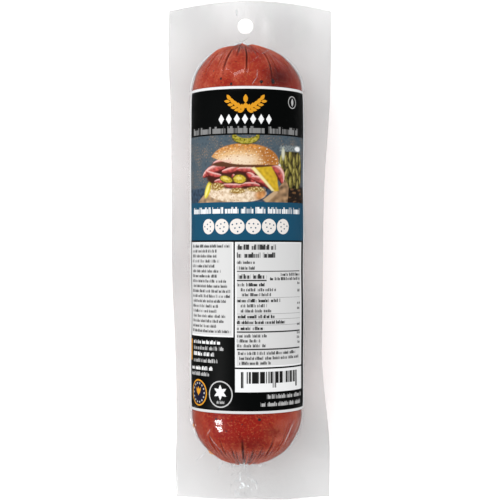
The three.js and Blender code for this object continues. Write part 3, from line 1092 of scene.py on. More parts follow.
def print_facts(p, inks):
    """The left column of small lines, the table with its rules, and the bar panel."""
    white, grey, black = tuple(inks.paper), tuple(inks.grey), tuple(inks.black)
    ink, soft, hairline, bar = ((tone, tone, tone) for tone in (0.035, 0.10, 0.24, 0.012))
    p.box(-PAST_SIDE, PAST_SIDE, -PAST_END, BAND_LOW, black)
    p.box(-36.6, MIDDLE_BAR[0], -42.6, TABLE_HIGH, white)
    p.box(-36.6, MIDDLE_BAR[0] - 0.7, -41.8, TABLE_HIGH - 0.5, grey)
    p.lines(-34.8, -7.8, -41.6, 2.7, soft, pitch=2.46, stroke=0.62, letter=0.75, ragged=9.0)
    p.box(MIDDLE_BAR[1], TABLE_RIGHT, -57.3, TABLE_HIGH, white)
    p.box(MIDDLE_BAR[1] + 0.8, TABLE_RIGHT - 1.6, -56.5, TABLE_HIGH - 0.5, grey)
    left, right, inset = -4.9, 33.1, -3.0
    thick_rules = ((-10.4, 0.45, right), (-14.9, 0.65, 9.9), (-40.0, 0.7, right), (-48.5, 0.7, right))
    for at, thick, reach in thick_rules:
        p.box(left, reach, at - thick / 2, at + thick / 2, ink)
    for at in (-23.3, -31.2, -33.8, -36.7):
        p.box(left, right, at - 0.1, at + 0.1, hairline)
    bold = ((14.9, 1.4, 2.6), (15.4, -2.5, 2.6), (9.9, -12.9, 2.3), (8.9, -16.9, 1.7), (17.5, -24.7, 1.7),
            (14.1, -32.5, 1.7), (21.0, -35.3, 1.7), (8.6, -38.2, 1.7))
    for reach, at, height in bold:
        p.row(left, reach, at, height, ink, letter=0.6 * height)
    light = ((left, 3.9, -6.0), (left, 3.9, -8.8), (inset, 14.9, -19.4), (inset, 12.2, -21.8),
             (inset, 10.0, -27.2), (inset, 12.4, -29.7), (left, 9.9, -41.9), (left, 6.6, -44.3),
             (left, 9.4, -46.7), (left + 0.5, 29.0, -50.4), (left + 1.2, 32.0, -52.8),
             (left + 1.2, 12.0, -55.2))
    for start, reach, at in light:
        p.row(start, reach, at, 1.6, soft, letter=0.85)
    for start, at in ((17.8, -12.0), (11.7, -14.1)):
        p.row(start, right, at, 1.5, ink, letter=0.8)
    for at in (-16.3, -20.0, -26.1, -28.7, -36.6, -40.9, -43.2, -45.6):
        p.row(30.0, right, at, 1.4, soft, letter=0.8)
    p.box(MIDDLE_BAR[1], TABLE_RIGHT, -69.4, -58.1, white)
    p.bars(-2.9, 30.5, -65.2, -59.5, bar)
    for start in (-2.9, 13.0, 28.0):
        p.bars(start, start + 2.0, -67.4, -65.2, bar)


def print_foot(p, inks):
    """What stands on the black ground low on the left and at the foot: a gold rule, small white and pale
    lines, and two plain ring badges."""
    white, gold = tuple(inks.paper), tuple(inks.gold)
    pale = (0.40, 0.40, 0.40)
    p.box(-37.4, -35.6, -55.0, -44.4, gold)
    for reach, at, colour in ((-13.6, -45.4, white), (-11.7, -48.4, pale), (-17.2, -51.4, white),
                              (-15.1, -54.6, pale)):
        p.row(-33.4, reach, at, 1.9, colour, letter=0.95)
    p.row(-36.2, -18.0, -58.4, 1.9, white, letter=0.95)
    p.row(-36.2, -20.3, -61.3, 1.9, pale, letter=0.95)
    p.ring(-28.2, -70.7, 6.6, 0.75, gold, fill=tuple(inks.navy))
    for step in range(14):
        turn = 2 * math.pi * step / 14
        p.dot(-28.2 + 4.7 * math.cos(turn), -70.7 + 4.7 * math.sin(turn), 0.5, pale)
    for turn in (math.radians(60), math.radians(90), math.radians(120)):
        p.leaf(-28.2 + 1.6 * math.cos(turn), -71.6 + 1.8 * math.sin(turn), 4.6, 1.5, turn, gold)
    p.ring(-13.6, -70.7, 6.6, 0.6, (0.5, 0.5, 0.5))
    for step in range(3):
        p.leaf(-13.6, -69.8, 7.6, 2.3, math.radians(30 + 60 * step), white)
    p.row(-15.6, -11.4, -74.6, 1.4, pale, letter=0.8)
    p.row(10.0, 34.6, -71.7, 2.1, pale, letter=1.1)
    p.row(6.8, 34.6, -75.4, 2.1, pale, letter=1.1)


def label_material(zone, inks, sizes):
    """Satin coated paper with the print of one zone on it."""
    material, w, surface = new_material("label_print")
    p = Print(w, tuple(inks.paper), zone)
    print_front(p, inks)
    print_facts(p, inks)
    print_foot(p, inks)
    end = (LABEL_REACH - sizes.end_border) / MM
    left = sizes.left_border / MM - HALF_ACROSS
    right = HALF_ACROSS - sizes.right_border / MM
    far = PAST_BORDERS
    borders = ((-far, far, end, far), (-far, far, -far, -end), (-far, left, -far, far),
               (right, far, -far, far))
    for edges in borders:
        p.box(*edges, tuple(inks.paper))
    fibre = w.noise(w.place(), 5 * MM, 3, 0.6)
    bump = w.node("ShaderNodeBump", {"Height": fibre, "Distance": 0.12 * MM, "Strength": 0.4})
    sheet = w.node("ShaderNodeBsdfPrincipled", {
        "Base Color": p.colour, "Roughness": w.blend(0.36, 0.48, fibre), "Normal": bump.outputs[0],
        "Specular IOR Level": 0.12})
    w.feed(surface, sheet.outputs[0])
    return material


# ---------------------------------------------------------------- the label's picture


class Painting:
    """A picture as colours on a grid of points, with soft shapes laid one over the other. x is across the
    label and y along it, in mm."""

    def __init__(self, x, y, ground):
        self.x, self.y = x, y
        self.place = np.stack([x, y], -1)
        self.coarse, self.fine, self.grain = (ripples(self.place, size, 41) for size in (9.0, 2.4, 1.1))
        self.image = np.empty(x.shape + (3,))
        self.image[:] = ground

    def over(self, mask, colour, texture=0.0):
        """Lays a colour where the mask is 1, made lighter and darker by the texture."""
        shade = np.array(colour) * (1 + texture * np.ones(self.x.shape))[..., None]
        self.image += (shade - self.image) * np.clip(mask, 0, 1)[..., None]

    def patch(self, centre, reach, turn=0.0, softness=0.12):
        """An ellipse with a soft edge: 1 inside, 0 outside."""
        aside, above = self.x - centre[0], self.y - centre[1]
        cosine, sine = math.cos(turn), math.sin(turn)
        lengthwise = (aside * cosine + above * sine) / reach[0]
        sideways = (above * cosine - aside * sine) / reach[1]
        return smooth((1 + softness - np.hypot(lengthwise, sideways)) / (2 * softness))

    def wedge(self, corners, softness=0.35):
        """A convex shape with its corners given anticlockwise: 1 inside, 0 outside, over a soft edge."""
        depth = np.full(self.x.shape, 1e9)
        for (ax, ay), (bx, by) in zip(corners, corners[1:] + corners[:1]):
            inwards = (bx - ax) * (self.y - ay) - (by - ay) * (self.x - ax)
            depth = np.minimum(depth, inwards / math.hypot(bx - ax, by - ay))
        return smooth(0.5 + depth / (2 * softness))

    def ribbon(self, start, end, bulge, width):
        """A curved band from start to end: its mask, and the place across it from -1 at its lower edge to 1
        at its upper edge. The middle line rises by bulge as 1 - s^2, with s from -1 to 1 along it."""
        aside = self.x - (start[0] + end[0]) / 2
        above = self.y - (start[1] + end[1]) / 2
        reach = math.hypot(end[0] - start[0], end[1] - start[1]) / 2
        cosine, sine = (end[0] - start[0]) / 2 / reach, (end[1] - start[1]) / 2 / reach
        s = (aside * cosine + above * sine) / reach
        t = above * cosine - aside * sine - bulge * (1 - s * s)
        t = t / (width / 2 * np.sqrt(np.clip(1.08 - s * s, 0.05, 1)))
        return smooth((1.1 - np.abs(t)) / 0.2) * smooth((1.05 - np.abs(s)) / 0.1), t


def paint_room(p):
    """A worn blue-grey wall, a table, and bare wood on the table's right."""
    x, y = p.x, p.y
    p.over(smooth(0.5 + 0.4 * p.coarse) * 0.6, (0.100, 0.115, 0.125), 0.15 * p.fine)
    p.over(smooth(p.fine - 0.5) * 0.5, (0.040, 0.055, 0.075))
    p.over(smooth(p.grain + 0.5 * p.coarse - 1.0) * 0.55, (0.30, 0.20, 0.13))
    p.over(smooth((31.2 - y + 0.02 * x) / 0.6), (0.035, 0.060, 0.098), 0.25 * p.fine)
    p.over(smooth(0.7 - 3 * np.abs(y - 31.4)), (0.15, 0.12, 0.10))
    p.over(smooth((32.0 - y) / 1.2) * smooth((x - 17.5) / 2), (0.022, 0.013, 0.009), 0.3 * p.grain)
    streaks = smooth(ripples(p.place * (0.3, 1.0), 1.5, 44) - 0.45)
    p.over(streaks * smooth(31.0 - y) * smooth((x - 18) / 2) * 0.8, (0.21, 0.10, 0.035))


def paint_jar(p):
    """A jar of small gherkins with a band round its neck and three glints."""
    jar = p.patch((25.8, 39.6), (9.6, 12.2), 0, 0.05) * smooth((49.6 - p.y) / 0.8) * smooth(p.y - 30)
    p.over(jar, (0.060, 0.048, 0.014), 0.4 * p.fine)
    for column in range(6):
        for tier in range(3):
            centre = (18.2 + 3.1 * column, 33.6 + 5.6 * tier + 1.9 * math.cos(2.3 * column + tier))
            lean = math.pi / 2 + 0.45 * math.sin(3.1 * column + 1.7 * tier)
            p.over(jar * p.patch(centre, (3.1, 1.25), lean, 0.15), (0.17, 0.14, 0.025), 0.2 * p.grain)
            shine = (centre[0] - 0.4, centre[1] + 0.5)
            p.over(jar * p.patch(shine, (2.0, 0.45), lean, 0.5), (0.44, 0.38, 0.10))
    neck = p.wedge(((17.0, 48.4), (34.2, 48.9), (34.0, 51.8), (17.4, 51.4)))
    p.over(neck, (0.17, 0.20, 0.21), 0.3 * p.grain)
    p.over(p.patch((30.6, 50.2), (2.6, 1.2), 0, 0.3), (0.85, 0.87, 0.88))
    p.over(p.patch((19.4, 47.4), (1.0, 2.8), 0, 0.5), (0.60, 0.60, 0.45))
    p.over(p.patch((17.0, 40.6), (0.9, 1.6), 0, 0.4), (0.85, 0.85, 0.75))


def paint_paper(p):
    """Brown paper under the roll, in three folds."""
    crumple = ripples(p.place, 3.0, 46)
    right = p.wedge(((8.5, 23.0), (22.0, 23.0), (23.0, 31.0), (21.0, 34.6), (14.0, 28.6)))
    turned_up = p.wedge(((10.0, 23.0), (16.0, 28.2), (14.6, 29.4), (8.0, 24.6)))
    left = p.wedge(((-29.5, 23.0), (-8.0, 23.0), (-16.0, 31.0), (-24.0, 27.0)))
    p.over(right, (0.30, 0.18, 0.095), 0.2 * crumple)
    p.over(turned_up, (0.50, 0.34, 0.20))
    p.over(left, (0.36, 0.23, 0.13), 0.2 * crumple)


def paint_lower_half(p):
    """The cut lower half of the roll, toasted on the right, with a slice of pickle at its left end."""
    crumb = p.patch((-5.5, 28.0), (15.0, 4.7), -0.03, 0.05)
    p.over(crumb, (0.68, 0.52, 0.36), 0.10 * p.fine)
    p.over(crumb * smooth(0.5 + 0.6 * p.fine) * 0.6, (0.82, 0.72, 0.58))
    p.over(crumb * smooth(p.grain - 1.0) * 0.8, (0.36, 0.15, 0.06))
    p.over(crumb * p.patch((9.0, 27.0), (5.0, 4.5), 0.4, 0.4), (0.50, 0.22, 0.07), 0.15 * p.fine)
    p.over(p.patch((-21.0, 29.8), (1.7, 4.6), -0.42, 0.12), (0.62, 0.50, 0.03))
    p.over(p.patch((-21.5, 29.4), (0.7, 3.4), -0.42, 0.4), (0.85, 0.75, 0.22))


# Folded slices in the picture: start, end, bulge and width, from the back to the front.
SLICES = (
    ((12.5, 41.0), (19.0, 33.0), 1.6, 5.0), ((-18.0, 42.0), (-5.0, 42.0), 0.8, 3.6),
    ((-6.0, 40.5), (6.0, 41.0), 0.6, 2.6), ((-24.5, 36.2), (-11.0, 40.6), 1.0, 4.2),
    ((-22.5, 38.8), (-13.0, 36.4), -0.6, 2.4), ((-12.5, 38.2), (-2.0, 41.0), -0.5, 3.0),
    ((-5.0, 39.2), (9.0, 36.6), 0.9, 3.2), ((-17.0, 33.4), (-8.0, 32.6), 0.7, 2.4),
    ((-12.0, 31.8), (-1.0, 31.4), -0.4, 2.4), ((-7.0, 37.0), (-4.6, 32.4), -0.5, 2.4),
    ((0.0, 37.6), (3.6, 32.0), 0.9, 3.6), ((-3.0, 31.6), (6.5, 31.4), 0.5, 2.2),
    ((2.0, 35.4), (13.5, 29.6), 1.0, 3.8))


def paint_filling(p):
    """The filling: folded slices of meat, two rounds of pickle, seeded mustard and a sheet of cheese."""
    p.over(p.patch((-2.5, 36.2), (19.5, 6.6), 0, 0.06), (0.055, 0.014, 0.008))
    for start, end, bulge, width in SLICES:
        mask, t = p.ribbon(start, end, bulge, width)
        p.over(mask, (0.10, 0.008, 0.008))
        p.over(mask * smooth((t + 0.85) / 0.5), (0.42, 0.065, 0.055), 0.25 * p.fine)
        p.over(mask * smooth((t + 0.1) / 0.7), (0.56, 0.20, 0.18), 0.15 * p.grain)
        p.over(mask * smooth((t - 0.35) / 0.4) * smooth((1.0 - t) / 0.2), (0.80, 0.50, 0.46))
    for centre, reach, lean in (((-3.6, 34.6), (3.0, 2.0), -0.1), ((-10.4, 34.6), (3.2, 1.4), -0.3)):
        rind, shine = (reach[0] + 0.5, reach[1] + 0.5), (centre[0] - 0.3, centre[1] + 0.4)
        p.over(p.patch(centre, rind, lean, 0.1), (0.08, 0.05, 0.01))
        p.over(p.patch(centre, reach, lean, 0.12), (0.50, 0.36, 0.03), 0.2 * p.grain)
        p.over(p.patch(shine, (reach[0] * 0.5, reach[1] * 0.4), lean, 0.5), (0.70, 0.58, 0.15))
    seeds = smooth(p.grain - 0.15)
    for centre, reach in (((-15.6, 31.0), (4.2, 1.9)), ((-4.5, 28.8), (4.0, 1.4)),
                          ((4.5, 29.6), (4.4, 1.2)), ((-2.0, 41.2), (6.5, 0.9))):
        mustard = p.patch(centre, reach, 0, 0.25)
        p.over(mustard, (0.28, 0.15, 0.03))
        p.over(mustard * seeds, (0.74, 0.60, 0.30))
    cheese = p.wedge(((2.2, 39.9), (13.8, 28.6), (16.6, 29.0), (15.6, 35.6), (12.4, 41.0)))
    p.over(cheese, (0.56, 0.36, 0.018), 0.10 * p.fine)
    p.over(p.wedge(((2.2, 39.9), (12.6, 28.9), (14.0, 29.0), (3.6, 40.6))), (0.78, 0.70, 0.36))


def paint_upper_half(p):
    """The seeded upper half of the roll, with a curved slice of gherkin on top."""
    x, y = p.x, p.y
    cut = smooth((y - 41.4 - 0.012 * x * x * (x < 0)) / 0.5)
    crown = p.patch((-1.3, 43.4), (17.8, 8.6), -0.01, 0.03) * cut
    p.over(p.patch((-1.3, 42.0), (17.4, 1.6), 0, 0.1), (0.10, 0.035, 0.015))
    p.over(crown, (0.52, 0.215, 0.045), 0.12 * p.fine)
    p.over(crown * p.patch((-4.5, 43.6), (13.0, 5.6), 0.0, 0.35), (0.68, 0.42, 0.19), 0.08 * p.grain)
    p.over(crown * p.patch((-6.0, 42.6), (10.5, 3.6), 0.1, 0.5), (0.76, 0.60, 0.43))
    p.over(crown * p.patch((-12.0, 42.2), (4.6, 1.8), 0.2, 0.5) * 0.7, (0.72, 0.42, 0.36))
    p.over(crown * p.patch((11.5, 45.6), (5.5, 4.2), -0.6, 0.5) * 0.7, (0.36, 0.12, 0.02))
    p.over(crown * smooth(ripples(p.place, 1.3, 47) - 1.15), (0.30, 0.08, 0.02))
    p.over(crown * smooth(ripples(p.place, 1.2, 48) - 1.3), (0.86, 0.76, 0.58))

    rind = p.patch((-0.5, 55.4), (7.0, 3.9), 0, 0.05) * (1 - p.patch((-0.2, 57.8), (6.4, 3.8), 0, 0.05))
    gherkin = p.patch((-0.5, 55.5), (6.6, 3.6), 0, 0.05) * (1 - p.patch((-0.2, 57.9), (6.0, 3.4), 0, 0.05))
    p.over(rind, (0.05, 0.05, 0.01))
    p.over(gherkin, (0.27, 0.23, 0.02), 0.35 * p.grain)
    p.over(gherkin * smooth(p.fine) * 0.6, (0.50, 0.42, 0.08))


def picture(x, y):
    """A serving picture, painted from the back to the front: a round filled roll on paper, with a jar
    behind."""
    p = Painting(x, y, ground=(0.070, 0.100, 0.125))
    for paint in (paint_room, paint_jar, paint_paper, paint_lower_half, paint_filling, paint_upper_half):
        paint(p)
    return np.clip(p.image, 0.001, 0.95) * 0.92


# ---------------------------------------------------------------- operators


class SALAMI_OT_sausage(bpy.types.Operator):
    """Make the sausage: skin with pleated ends, from deep wet red to pale bloom"""

    bl_idname = "salami.sausage"
    bl_label = "Sausage"

    def execute(self, context):
        sizes = context.scene.salami_sizes
        around = 420
        rows = salami_rows(cap_rows=80, side_rows=66)
        turn = np.linspace(0, 2 * np.pi, around, endpoint=False)[None, :]
        points, folded = salami_form(sizes, turn, rows[:, None])
        points[..., 2] = level_off(points[..., 2], SALAMI_LOW.z - 0.25 * MM, 0.12 * MM)
        made = new_object("salami_body", points, grid_faces(rows.size, around, closed=True)[:, ::-1])
        bloom, shade = skin_values(points, folded)
        add_values(made, "bloom", bloom)
        add_values(made, "shade", shade)
        clean_up(made)
        put_in_place(made, "salami", meat_material(context.scene.salami_meat))
        return {"FINISHED"}


def skin_values(points, folded):
    """Bloom, from 0 where the film clings wet to 1 where the skin is pale and dry; the same value also
    carries painted light: a painted highlight on the top cap and on the pleats' shoulders, a painted lit
    patch on the upper left of the top cap, and paler sides and a paler right of the bottom end, which are
    partly lifted film and partly a painted reflection.
    Shade darkens the pleats' valleys as painted shade, and three darker patches of the meat. x, y and z are
    in mm; the patches lie on the upper half."""
    x, y, z = (points[..., i] / MM for i in range(3))
    rise = (z - AXIS_Z / MM) / (RADIUS / MM)
    upper = smooth(rise * 4)
    bloom = 0.38 + 0.09 * ripples(points, 17 * MM, 61) + 0.07 * ripples(points, 6 * MM, 62)
    # Paler towards the sides: partly where the film lifts off the skin, partly a painted reflection of the
    # side light.
    bloom += 0.30 * smooth((0.62 - np.abs(rise)) / 0.5)
    bloom -= 0.30 * upper * bell(np.hypot(x - 13, (y - 85) * 1.1), 7.0)
    # A painted highlight: a soft pale spot on the top cap.
    bloom += 0.28 * upper * bell(np.hypot((x + 4.0) * 0.8, (y - 85.5) * 1.7), 4.6)
    # Painted light: the upper left of the top cap made paler, as lit from the key side.
    bloom += 0.22 * upper * bell(np.hypot(x + 20, y - 88), 9.0)
    left_of_film_line = smooth((y + 89 + 1.6 * (x + 18)) / -3)
    wet_band = smooth((y + 97.5) / 5) * smooth((-78 - y) / 3) * smooth((12 - x) / 12)
    bloom -= 0.62 * upper * wet_band * (1 - left_of_film_line) * smooth((x + 26) / 8)
    # Paler on the right of the bottom end: partly lifted, hazy film, partly a painted reflection.
    bloom += 0.20 * smooth((x - 6) / 10) * smooth((-80 - y) / 6)
    bloom += 0.10 * smooth((-97 - y) / 5)
    # Painted highlights along the pleats' shoulders.
    bloom += 1.20 * np.clip(folded, 0, 1)
    shade = 0.82 * upper * bell(np.hypot((x - 14.5) * 0.8, y - 85), 5.5)
    shade += 0.35 * upper * bell(np.hypot((x - 1) * 0.35, y + 95.5), 3.6)
    shade += 0.40 * upper * bell(np.hypot((x - 12) * 0.7, y + 89.5), 3.2)
    # Painted shade in the pleats' valleys.
    shade += 0.85 * smooth(-folded * 1.6)
    return np.clip(bloom, 0, 1), np.clip(shade, 0, 0.85)


class SALAMI_OT_pepper(bpy.types.Operator):
    """Make the specks of cracked pepper that sit in the skin"""

    bl_idname = "salami.pepper"
    bl_label = "Pepper"

    def execute(self, context):
        sizes = context.scene.salami_sizes
        rng = np.random.default_rng(17)
        seen = np.array((
            (118, 1.12, 0.75), (75, 1.07, 0.85), (62, 1.08, 1.35), (106, 1.04, 0.75), (129, 1.24, 0.5),
            (77, -1.01, 0.85), (95, -1.07, 0.45), (112, -1.16, 0.5), (123, -1.01, 0.6), (64, 1.30, 0.35)))
        hidden = np.pi * np.concatenate([rng.uniform(1.05, 1.36, 30), rng.uniform(1.64, 1.95, 30)])
        turns = np.concatenate([np.radians(seen[:, 0]), hidden])
        marches = np.concatenate([seen[:, 1], rng.uniform(-1.6, 1.6, hidden.size)])
        reaches = np.concatenate([seen[:, 2], rng.uniform(0.3, 0.75, hidden.size)]) * MM
        out = heading(turns, marches)
        centres = salami_form(sizes, turns, marches)[0] - out * 0.08 * MM
        made = scatter_flakes("pepper_specks", centres, out, reaches, 0.3, rng)
        put_in_place(made, None, pepper_material(context.scene.salami_meat))
        return {"FINISHED"}


class SALAMI_OT_fat(bpy.types.Operator):
    """Make the beads of orange fat pressed out between the skin and the film, low on the left"""

    bl_idname = "salami.fat"
    bl_label = "Fat beads"

    def execute(self, context):
        rng = np.random.default_rng(23)
        turns = np.radians((174, 172, 170, 173, 168, 171))
        marches = -np.array((1.15, 1.19, 1.50, 1.56, 1.53, 1.60))
        reaches = np.array((1.1, 0.8, 1.2, 1.5, 1.0, 1.2)) * MM
        out = heading(turns, marches)
        centres = salami_form(context.scene.salami_sizes, turns, marches)[0] + out * 0.05 * MM
        made = scatter_flakes("fat_beads", centres, out, reaches, 0.5, rng)
        put_in_place(made, None, fat_material())
        return {"FINISHED"}


def scatter_flakes(name, centres, out, reaches, flatness, rng):
    """Rough flattened balls, one at each centre, lying along the skin: a ball of 6 by 8 points whose radius
    is shaken, pressed to a share of its height along out."""
    rise = np.linspace(-np.pi / 2, np.pi / 2, 6)[:, None]
    around = np.linspace(0, 2 * np.pi, 8, endpoint=False)[None, :]
    ball = np.stack([np.cos(rise) * np.cos(around), np.cos(rise) * np.sin(around),
                     np.sin(rise) + 0 * around], -1).reshape(-1, 3)
    side = np.cross(out, (0.3, 0.9, 0.2))
    side /= np.linalg.norm(side, axis=1)[:, None]
    other = np.cross(out, side)
    shaken = 1 + 0.2 * rng.normal(size=(len(centres), ball.shape[0], 1))
    shaken[:, :8] = shaken[:, :1]
    shaken[:, -8:] = shaken[:, -1:]
    local = ball[None] * shaken * reaches[:, None, None]
    points = (centres[:, None] + local[..., :1] * side[:, None] + local[..., 1:2] * other[:, None]
              + local[..., 2:] * flatness * out[:, None])
    faces = grid_faces(6, 8, closed=True)
    many = (faces[None] + np.arange(len(centres))[:, None, None] * ball.shape[0]).reshape(-1, 4)
    made = new_object(name, points, many)
    clean_up(made)
    return made


class SALAMI_OT_film(bpy.types.Operator):
    """Make the two webs of clear film, with their flat margin and the hang hole"""

    bl_idname = "salami.film"
    bl_label = "Film"

    def execute(self, context):
        sizes, shape = context.scene.salami_film, context.scene.salami_sizes
        material = film_material(sizes)
        for name, side, node in (("front_web", 1, "front_film"), ("back_web", -1, "back_film")):
            points, faces, rise = film_web(side, sizes, shape)
            made = new_object(name, points, faces)
            haze, white = film_values(points, rise, sizes)
            add_values(made, "haze", haze)
            add_values(made, "white", white)
            clean_up(made)
            thicken(made, sizes.thickness, 0)
            put_in_place(made, node, material)
        return {"FINISHED"}


def film_values(points, rise, sizes):
    """Haze, which greys the flat margin and a little of the foot end, lays a lighter patch on the head as
    painted light, darker grey below the foot's gather as painted shade, and over the right of the foot end
    partly lifted film and partly a painted reflection; and white, a painted highlight: the light line where
    the film turns into the margin past the label.
    rise is the height over the margin, or less than 0 on the margin itself."""
    x, y = points[..., 0] / MM, points[..., 1] / MM
    on_dome = smooth(rise / (1.2 * MM))
    haze = sizes.haze * (1 - on_dome) * (1 + 0.12 * ripples(points[..., :2], 45 * MM, 31))
    # Painted light: less haze, so a lighter patch, on the head margin where a soft ridge catches the light.
    haze *= 1 - 0.35 * bell(np.hypot((x - 8) / 2.6, (y - 112) / 6.5), 1)
    # Painted shade: more haze, so darker grey, in a band below the foot's gather.
    haze *= 1 + 0.22 * bell((x + 2.0) / 4.0, 1) * smooth((-108 - y) / 4)
    haze += 0.05 * on_dome * smooth((-98 - y) / 4)
    # Partly lifted film, partly a painted reflection on the right of the foot end.
    haze += 0.03 * on_dome * smooth((x - 12) / 10) * smooth((-80 - y) / 5)
    past_label = smooth((np.abs(y) - LABEL_REACH / MM) / 1.5)
    # Painted highlight along the film's turn into the margin.
    white = past_label * bell(rise - 0.4 * MM, 0.5 * MM) * np.where(y > 0, 0.60, 0.28) * (rise >= 0)
    return haze, white


class SALAMI_OT_label(bpy.types.Operator):
    """Make the printed label that wraps over the front"""

    bl_idname = "salami.label"
    bl_label = "Label"

    def execute(self, context):
        sizes, inks = context.scene.salami_label, context.scene.salami_inks
        reach = LABEL_REACH / MM
        # Where the zones of print end, and how many rows of faces each has; the picture needs many.
        stops = -reach, BADGES_HIGH, FOOT_HIGH, TABLE_MIDDLE, BAND_LOW, PICTURE_LOW, PICTURE_HIGH, reach
        steps = 5, 5, 7, 7, 6, 112, 8
        along = np.concatenate([np.linspace(stop, after, count, endpoint=False)
                                for stop, after, count in zip(stops, stops[1:], steps)] + [[reach]])
        angle = np.linspace(-LABEL_TURN, LABEL_TURN, 260)[None, :]
        across, along = np.broadcast_arrays(angle / LABEL_TURN * HALF_ACROSS, along[:, None])
        flat = np.stack([across, along], -1)
        hug = 0.08 * MM * ripples(flat, 40, 71) - 0.35 * MM * smooth((np.abs(along) - 75) / 6)
        radius = RADIUS + sizes.standoff + hug
        points = np.stack([AXIS_X + radius * np.sin(angle), along * MM,
                           AXIS_Z + radius * np.cos(angle)], -1)
        made = new_object("label_sheet", points, grid_faces(*across.shape, closed=False))
        add_colours(made, "picture", picture(across, along))
        add_flat_map(made, "print", flat)
        thicken(made, sizes.thickness, 1)
        zones = list(zip(stops, stops[1:]))
        put_in_place(made, "printed_label", label_material(zones[0], inks, sizes))
        for zone in zones[1:]:
            made.data.materials.append(label_material(zone, inks, sizes))
        middle = np.array([face.center.y for face in made.data.polygons]) / MM
        chosen = np.searchsorted(stops[1:-1], middle).astype(np.int32)
        made.data.polygons.foreach_set("material_index", chosen)
        return {"FINISHED"}


class SALAMI_OT_stage(bpy.types.Operator):
    """Make the floor, the lights and the camera"""

    bl_idname = "salami.stage"
    bl_label = "Stage"

    def execute(self, context):
        sizes = context.scene.salami_stage
        make_floor()
        make_sky(sizes)
        make_lights(sizes)
        make_camera(sizes)
        context.scene.view_settings.view_transform = "Standard"
        return {"FINISHED"}


def make_floor():
    """A plain pale floor with a faint glow, level with the foot of the pack. Glossy surfaces mirror it as
    nearly black, as they would a room round a small lit table."""
    reach = 6.0
    corners = np.array([(-reach, -reach, 0), (reach, -reach, 0), (reach, reach, 0), (-reach, reach, 0)])
    floor = new_object("floor", corners, np.array([(0, 1, 2, 3)]))
    material, w, surface = new_material("pale_floor")
    pale, dark = (
        w.node("ShaderNodeBsdfPrincipled", {
            "Base Color": (tone, tone, tone, 1), "Roughness": 0.9, "Specular IOR Level": 0.0,
            "Emission Color": (1, 1, 1, 1), "Emission Strength": glow})
        for tone, glow in ((0.93, 0.24), (0.07, 0.0)))
    in_gloss = w.node("ShaderNodeLightPath").outputs["Is Glossy Ray"]
    plain = w.node("ShaderNodeMixShader", {0: in_gloss, 1: pale.outputs[0], 2: dark.outputs[0]})
    w.feed(surface, plain.outputs[0])
    floor.data.materials.append(material)


def add_area_light(name, at, aim, size, power):
    """A white rectangle of light at one place, turned towards another."""
    lamp = bpy.data.lights.new(name, "AREA")
    lamp.shape = "RECTANGLE"
    lamp.size, lamp.size_y = size
    lamp.energy = power
    made = bpy.data.objects.new(name, lamp)
    made.location = at
    away = made.location - type(made.location)(aim)
    made.rotation_euler = away.to_track_quat("Z", "Y").to_euler()
    bpy.context.scene.collection.objects.link(made)
    return made


def make_sky(sizes):
    """An even pale sky. Glossy surfaces mirror it as darker than it is, as they would a room."""
    world = bpy.data.worlds.new("pale_sky")
    world.use_nodes = True
    world.node_tree.nodes.clear()
    w = Wiring(world.node_tree)
    rays = w.node("ShaderNodeLightPath").outputs
    strength = w.blend(sizes.sky, sizes.sky_in_gloss, rays["Is Glossy Ray"])
    strength = w.blend(strength, 1.0, rays["Is Camera Ray"])
    even = w.node("ShaderNodeBackground", {"Color": (1, 1, 1, 1), "Strength": strength})
    w.feed(w.node("ShaderNodeOutputWorld").inputs["Surface"], even.outputs[0])
    bpy.context.scene.world = world


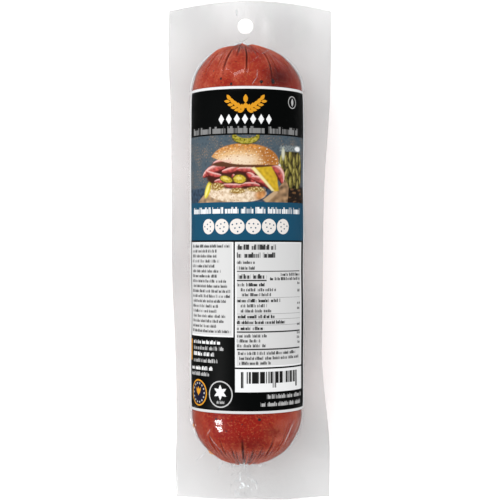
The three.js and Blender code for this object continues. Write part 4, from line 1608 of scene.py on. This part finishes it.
def make_lights(sizes):
    """A broad key from the upper left that no gloss mirrors, and two lights that only gloss shows: a dim
    strip beyond the head, and a window of two panes low on the left."""
    key = add_area_light("key", (-0.55, 0.30, 0.95), (0, 0, 0.03), (0.6, 0.6), sizes.key)
    key.visible_glossy = False
    strip = add_area_light("strip_in_gloss", (-0.28, 0.90, 0.80), (0, 0, 0.03), (0.55, 0.22), 0.8)
    strip.visible_diffuse = False
    panes = (("upper_pane", (-0.842, -0.351, 0.543), 0.12), ("lower_pane", (-0.795, -0.566, 0.459), 0.20))
    for name, at, width in panes:
        pane = add_area_light(name, at, (-0.015, -0.086, 0.052), (width, 0.28), 15 * width)
        pane.visible_diffuse = False


def make_camera(sizes):
    """A camera straight above, wide enough to take in the field at the sausage's axis."""
    lens = bpy.data.cameras.new("camera")
    lens.sensor_width = 36
    lens.lens = 36 * sizes.camera_height / sizes.field_width
    made = bpy.data.objects.new("camera", lens)
    made.location = (sizes.camera_x, 0, AXIS_Z + sizes.camera_height)
    bpy.context.scene.collection.objects.link(made)
    bpy.context.scene.camera = made


OPERATORS = (SALAMI_OT_sausage, SALAMI_OT_pepper, SALAMI_OT_fat, SALAMI_OT_film, SALAMI_OT_label,
             SALAMI_OT_stage)


class SALAMI_PT_panel(bpy.types.Panel):
    """Lists the pieces and their settings"""

    bl_idname = "SALAMI_PT_panel"
    bl_label = "Vacuum-packed salami"
    bl_space_type = "VIEW_3D"
    bl_region_type = "UI"
    bl_category = "Salami"

    def draw(self, context):
        layout = self.layout
        for operator in OPERATORS:
            layout.operator(operator.bl_idname)
        for name, group in PROPERTY_GROUPS.items():
            box = layout.box()
            box.label(text=group.__doc__)
            for setting in group.__annotations__:
                box.prop(getattr(context.scene, name), setting)


CLASSES = (*PROPERTY_GROUPS.values(), *OPERATORS, SALAMI_PT_panel)


def register():
    """Registers the classes and gives the scene its settings."""
    for made in CLASSES:
        bpy.utils.register_class(made)
    for name, group in PROPERTY_GROUPS.items():
        setattr(bpy.types.Scene, name, PointerProperty(type=group))


def unregister():
    """Takes the settings and the classes away again."""
    for name in PROPERTY_GROUPS:
        delattr(bpy.types.Scene, name)
    for made in reversed(CLASSES):
        bpy.utils.unregister_class(made)


def main():
    """Registers the add-on and makes every piece and the stage."""
    register()
    bpy.ops.salami.sausage()
    bpy.ops.salami.pepper()
    bpy.ops.salami.fat()
    bpy.ops.salami.film()
    bpy.ops.salami.label()
    bpy.ops.salami.stage()


if __name__ == "__main__":
    main()
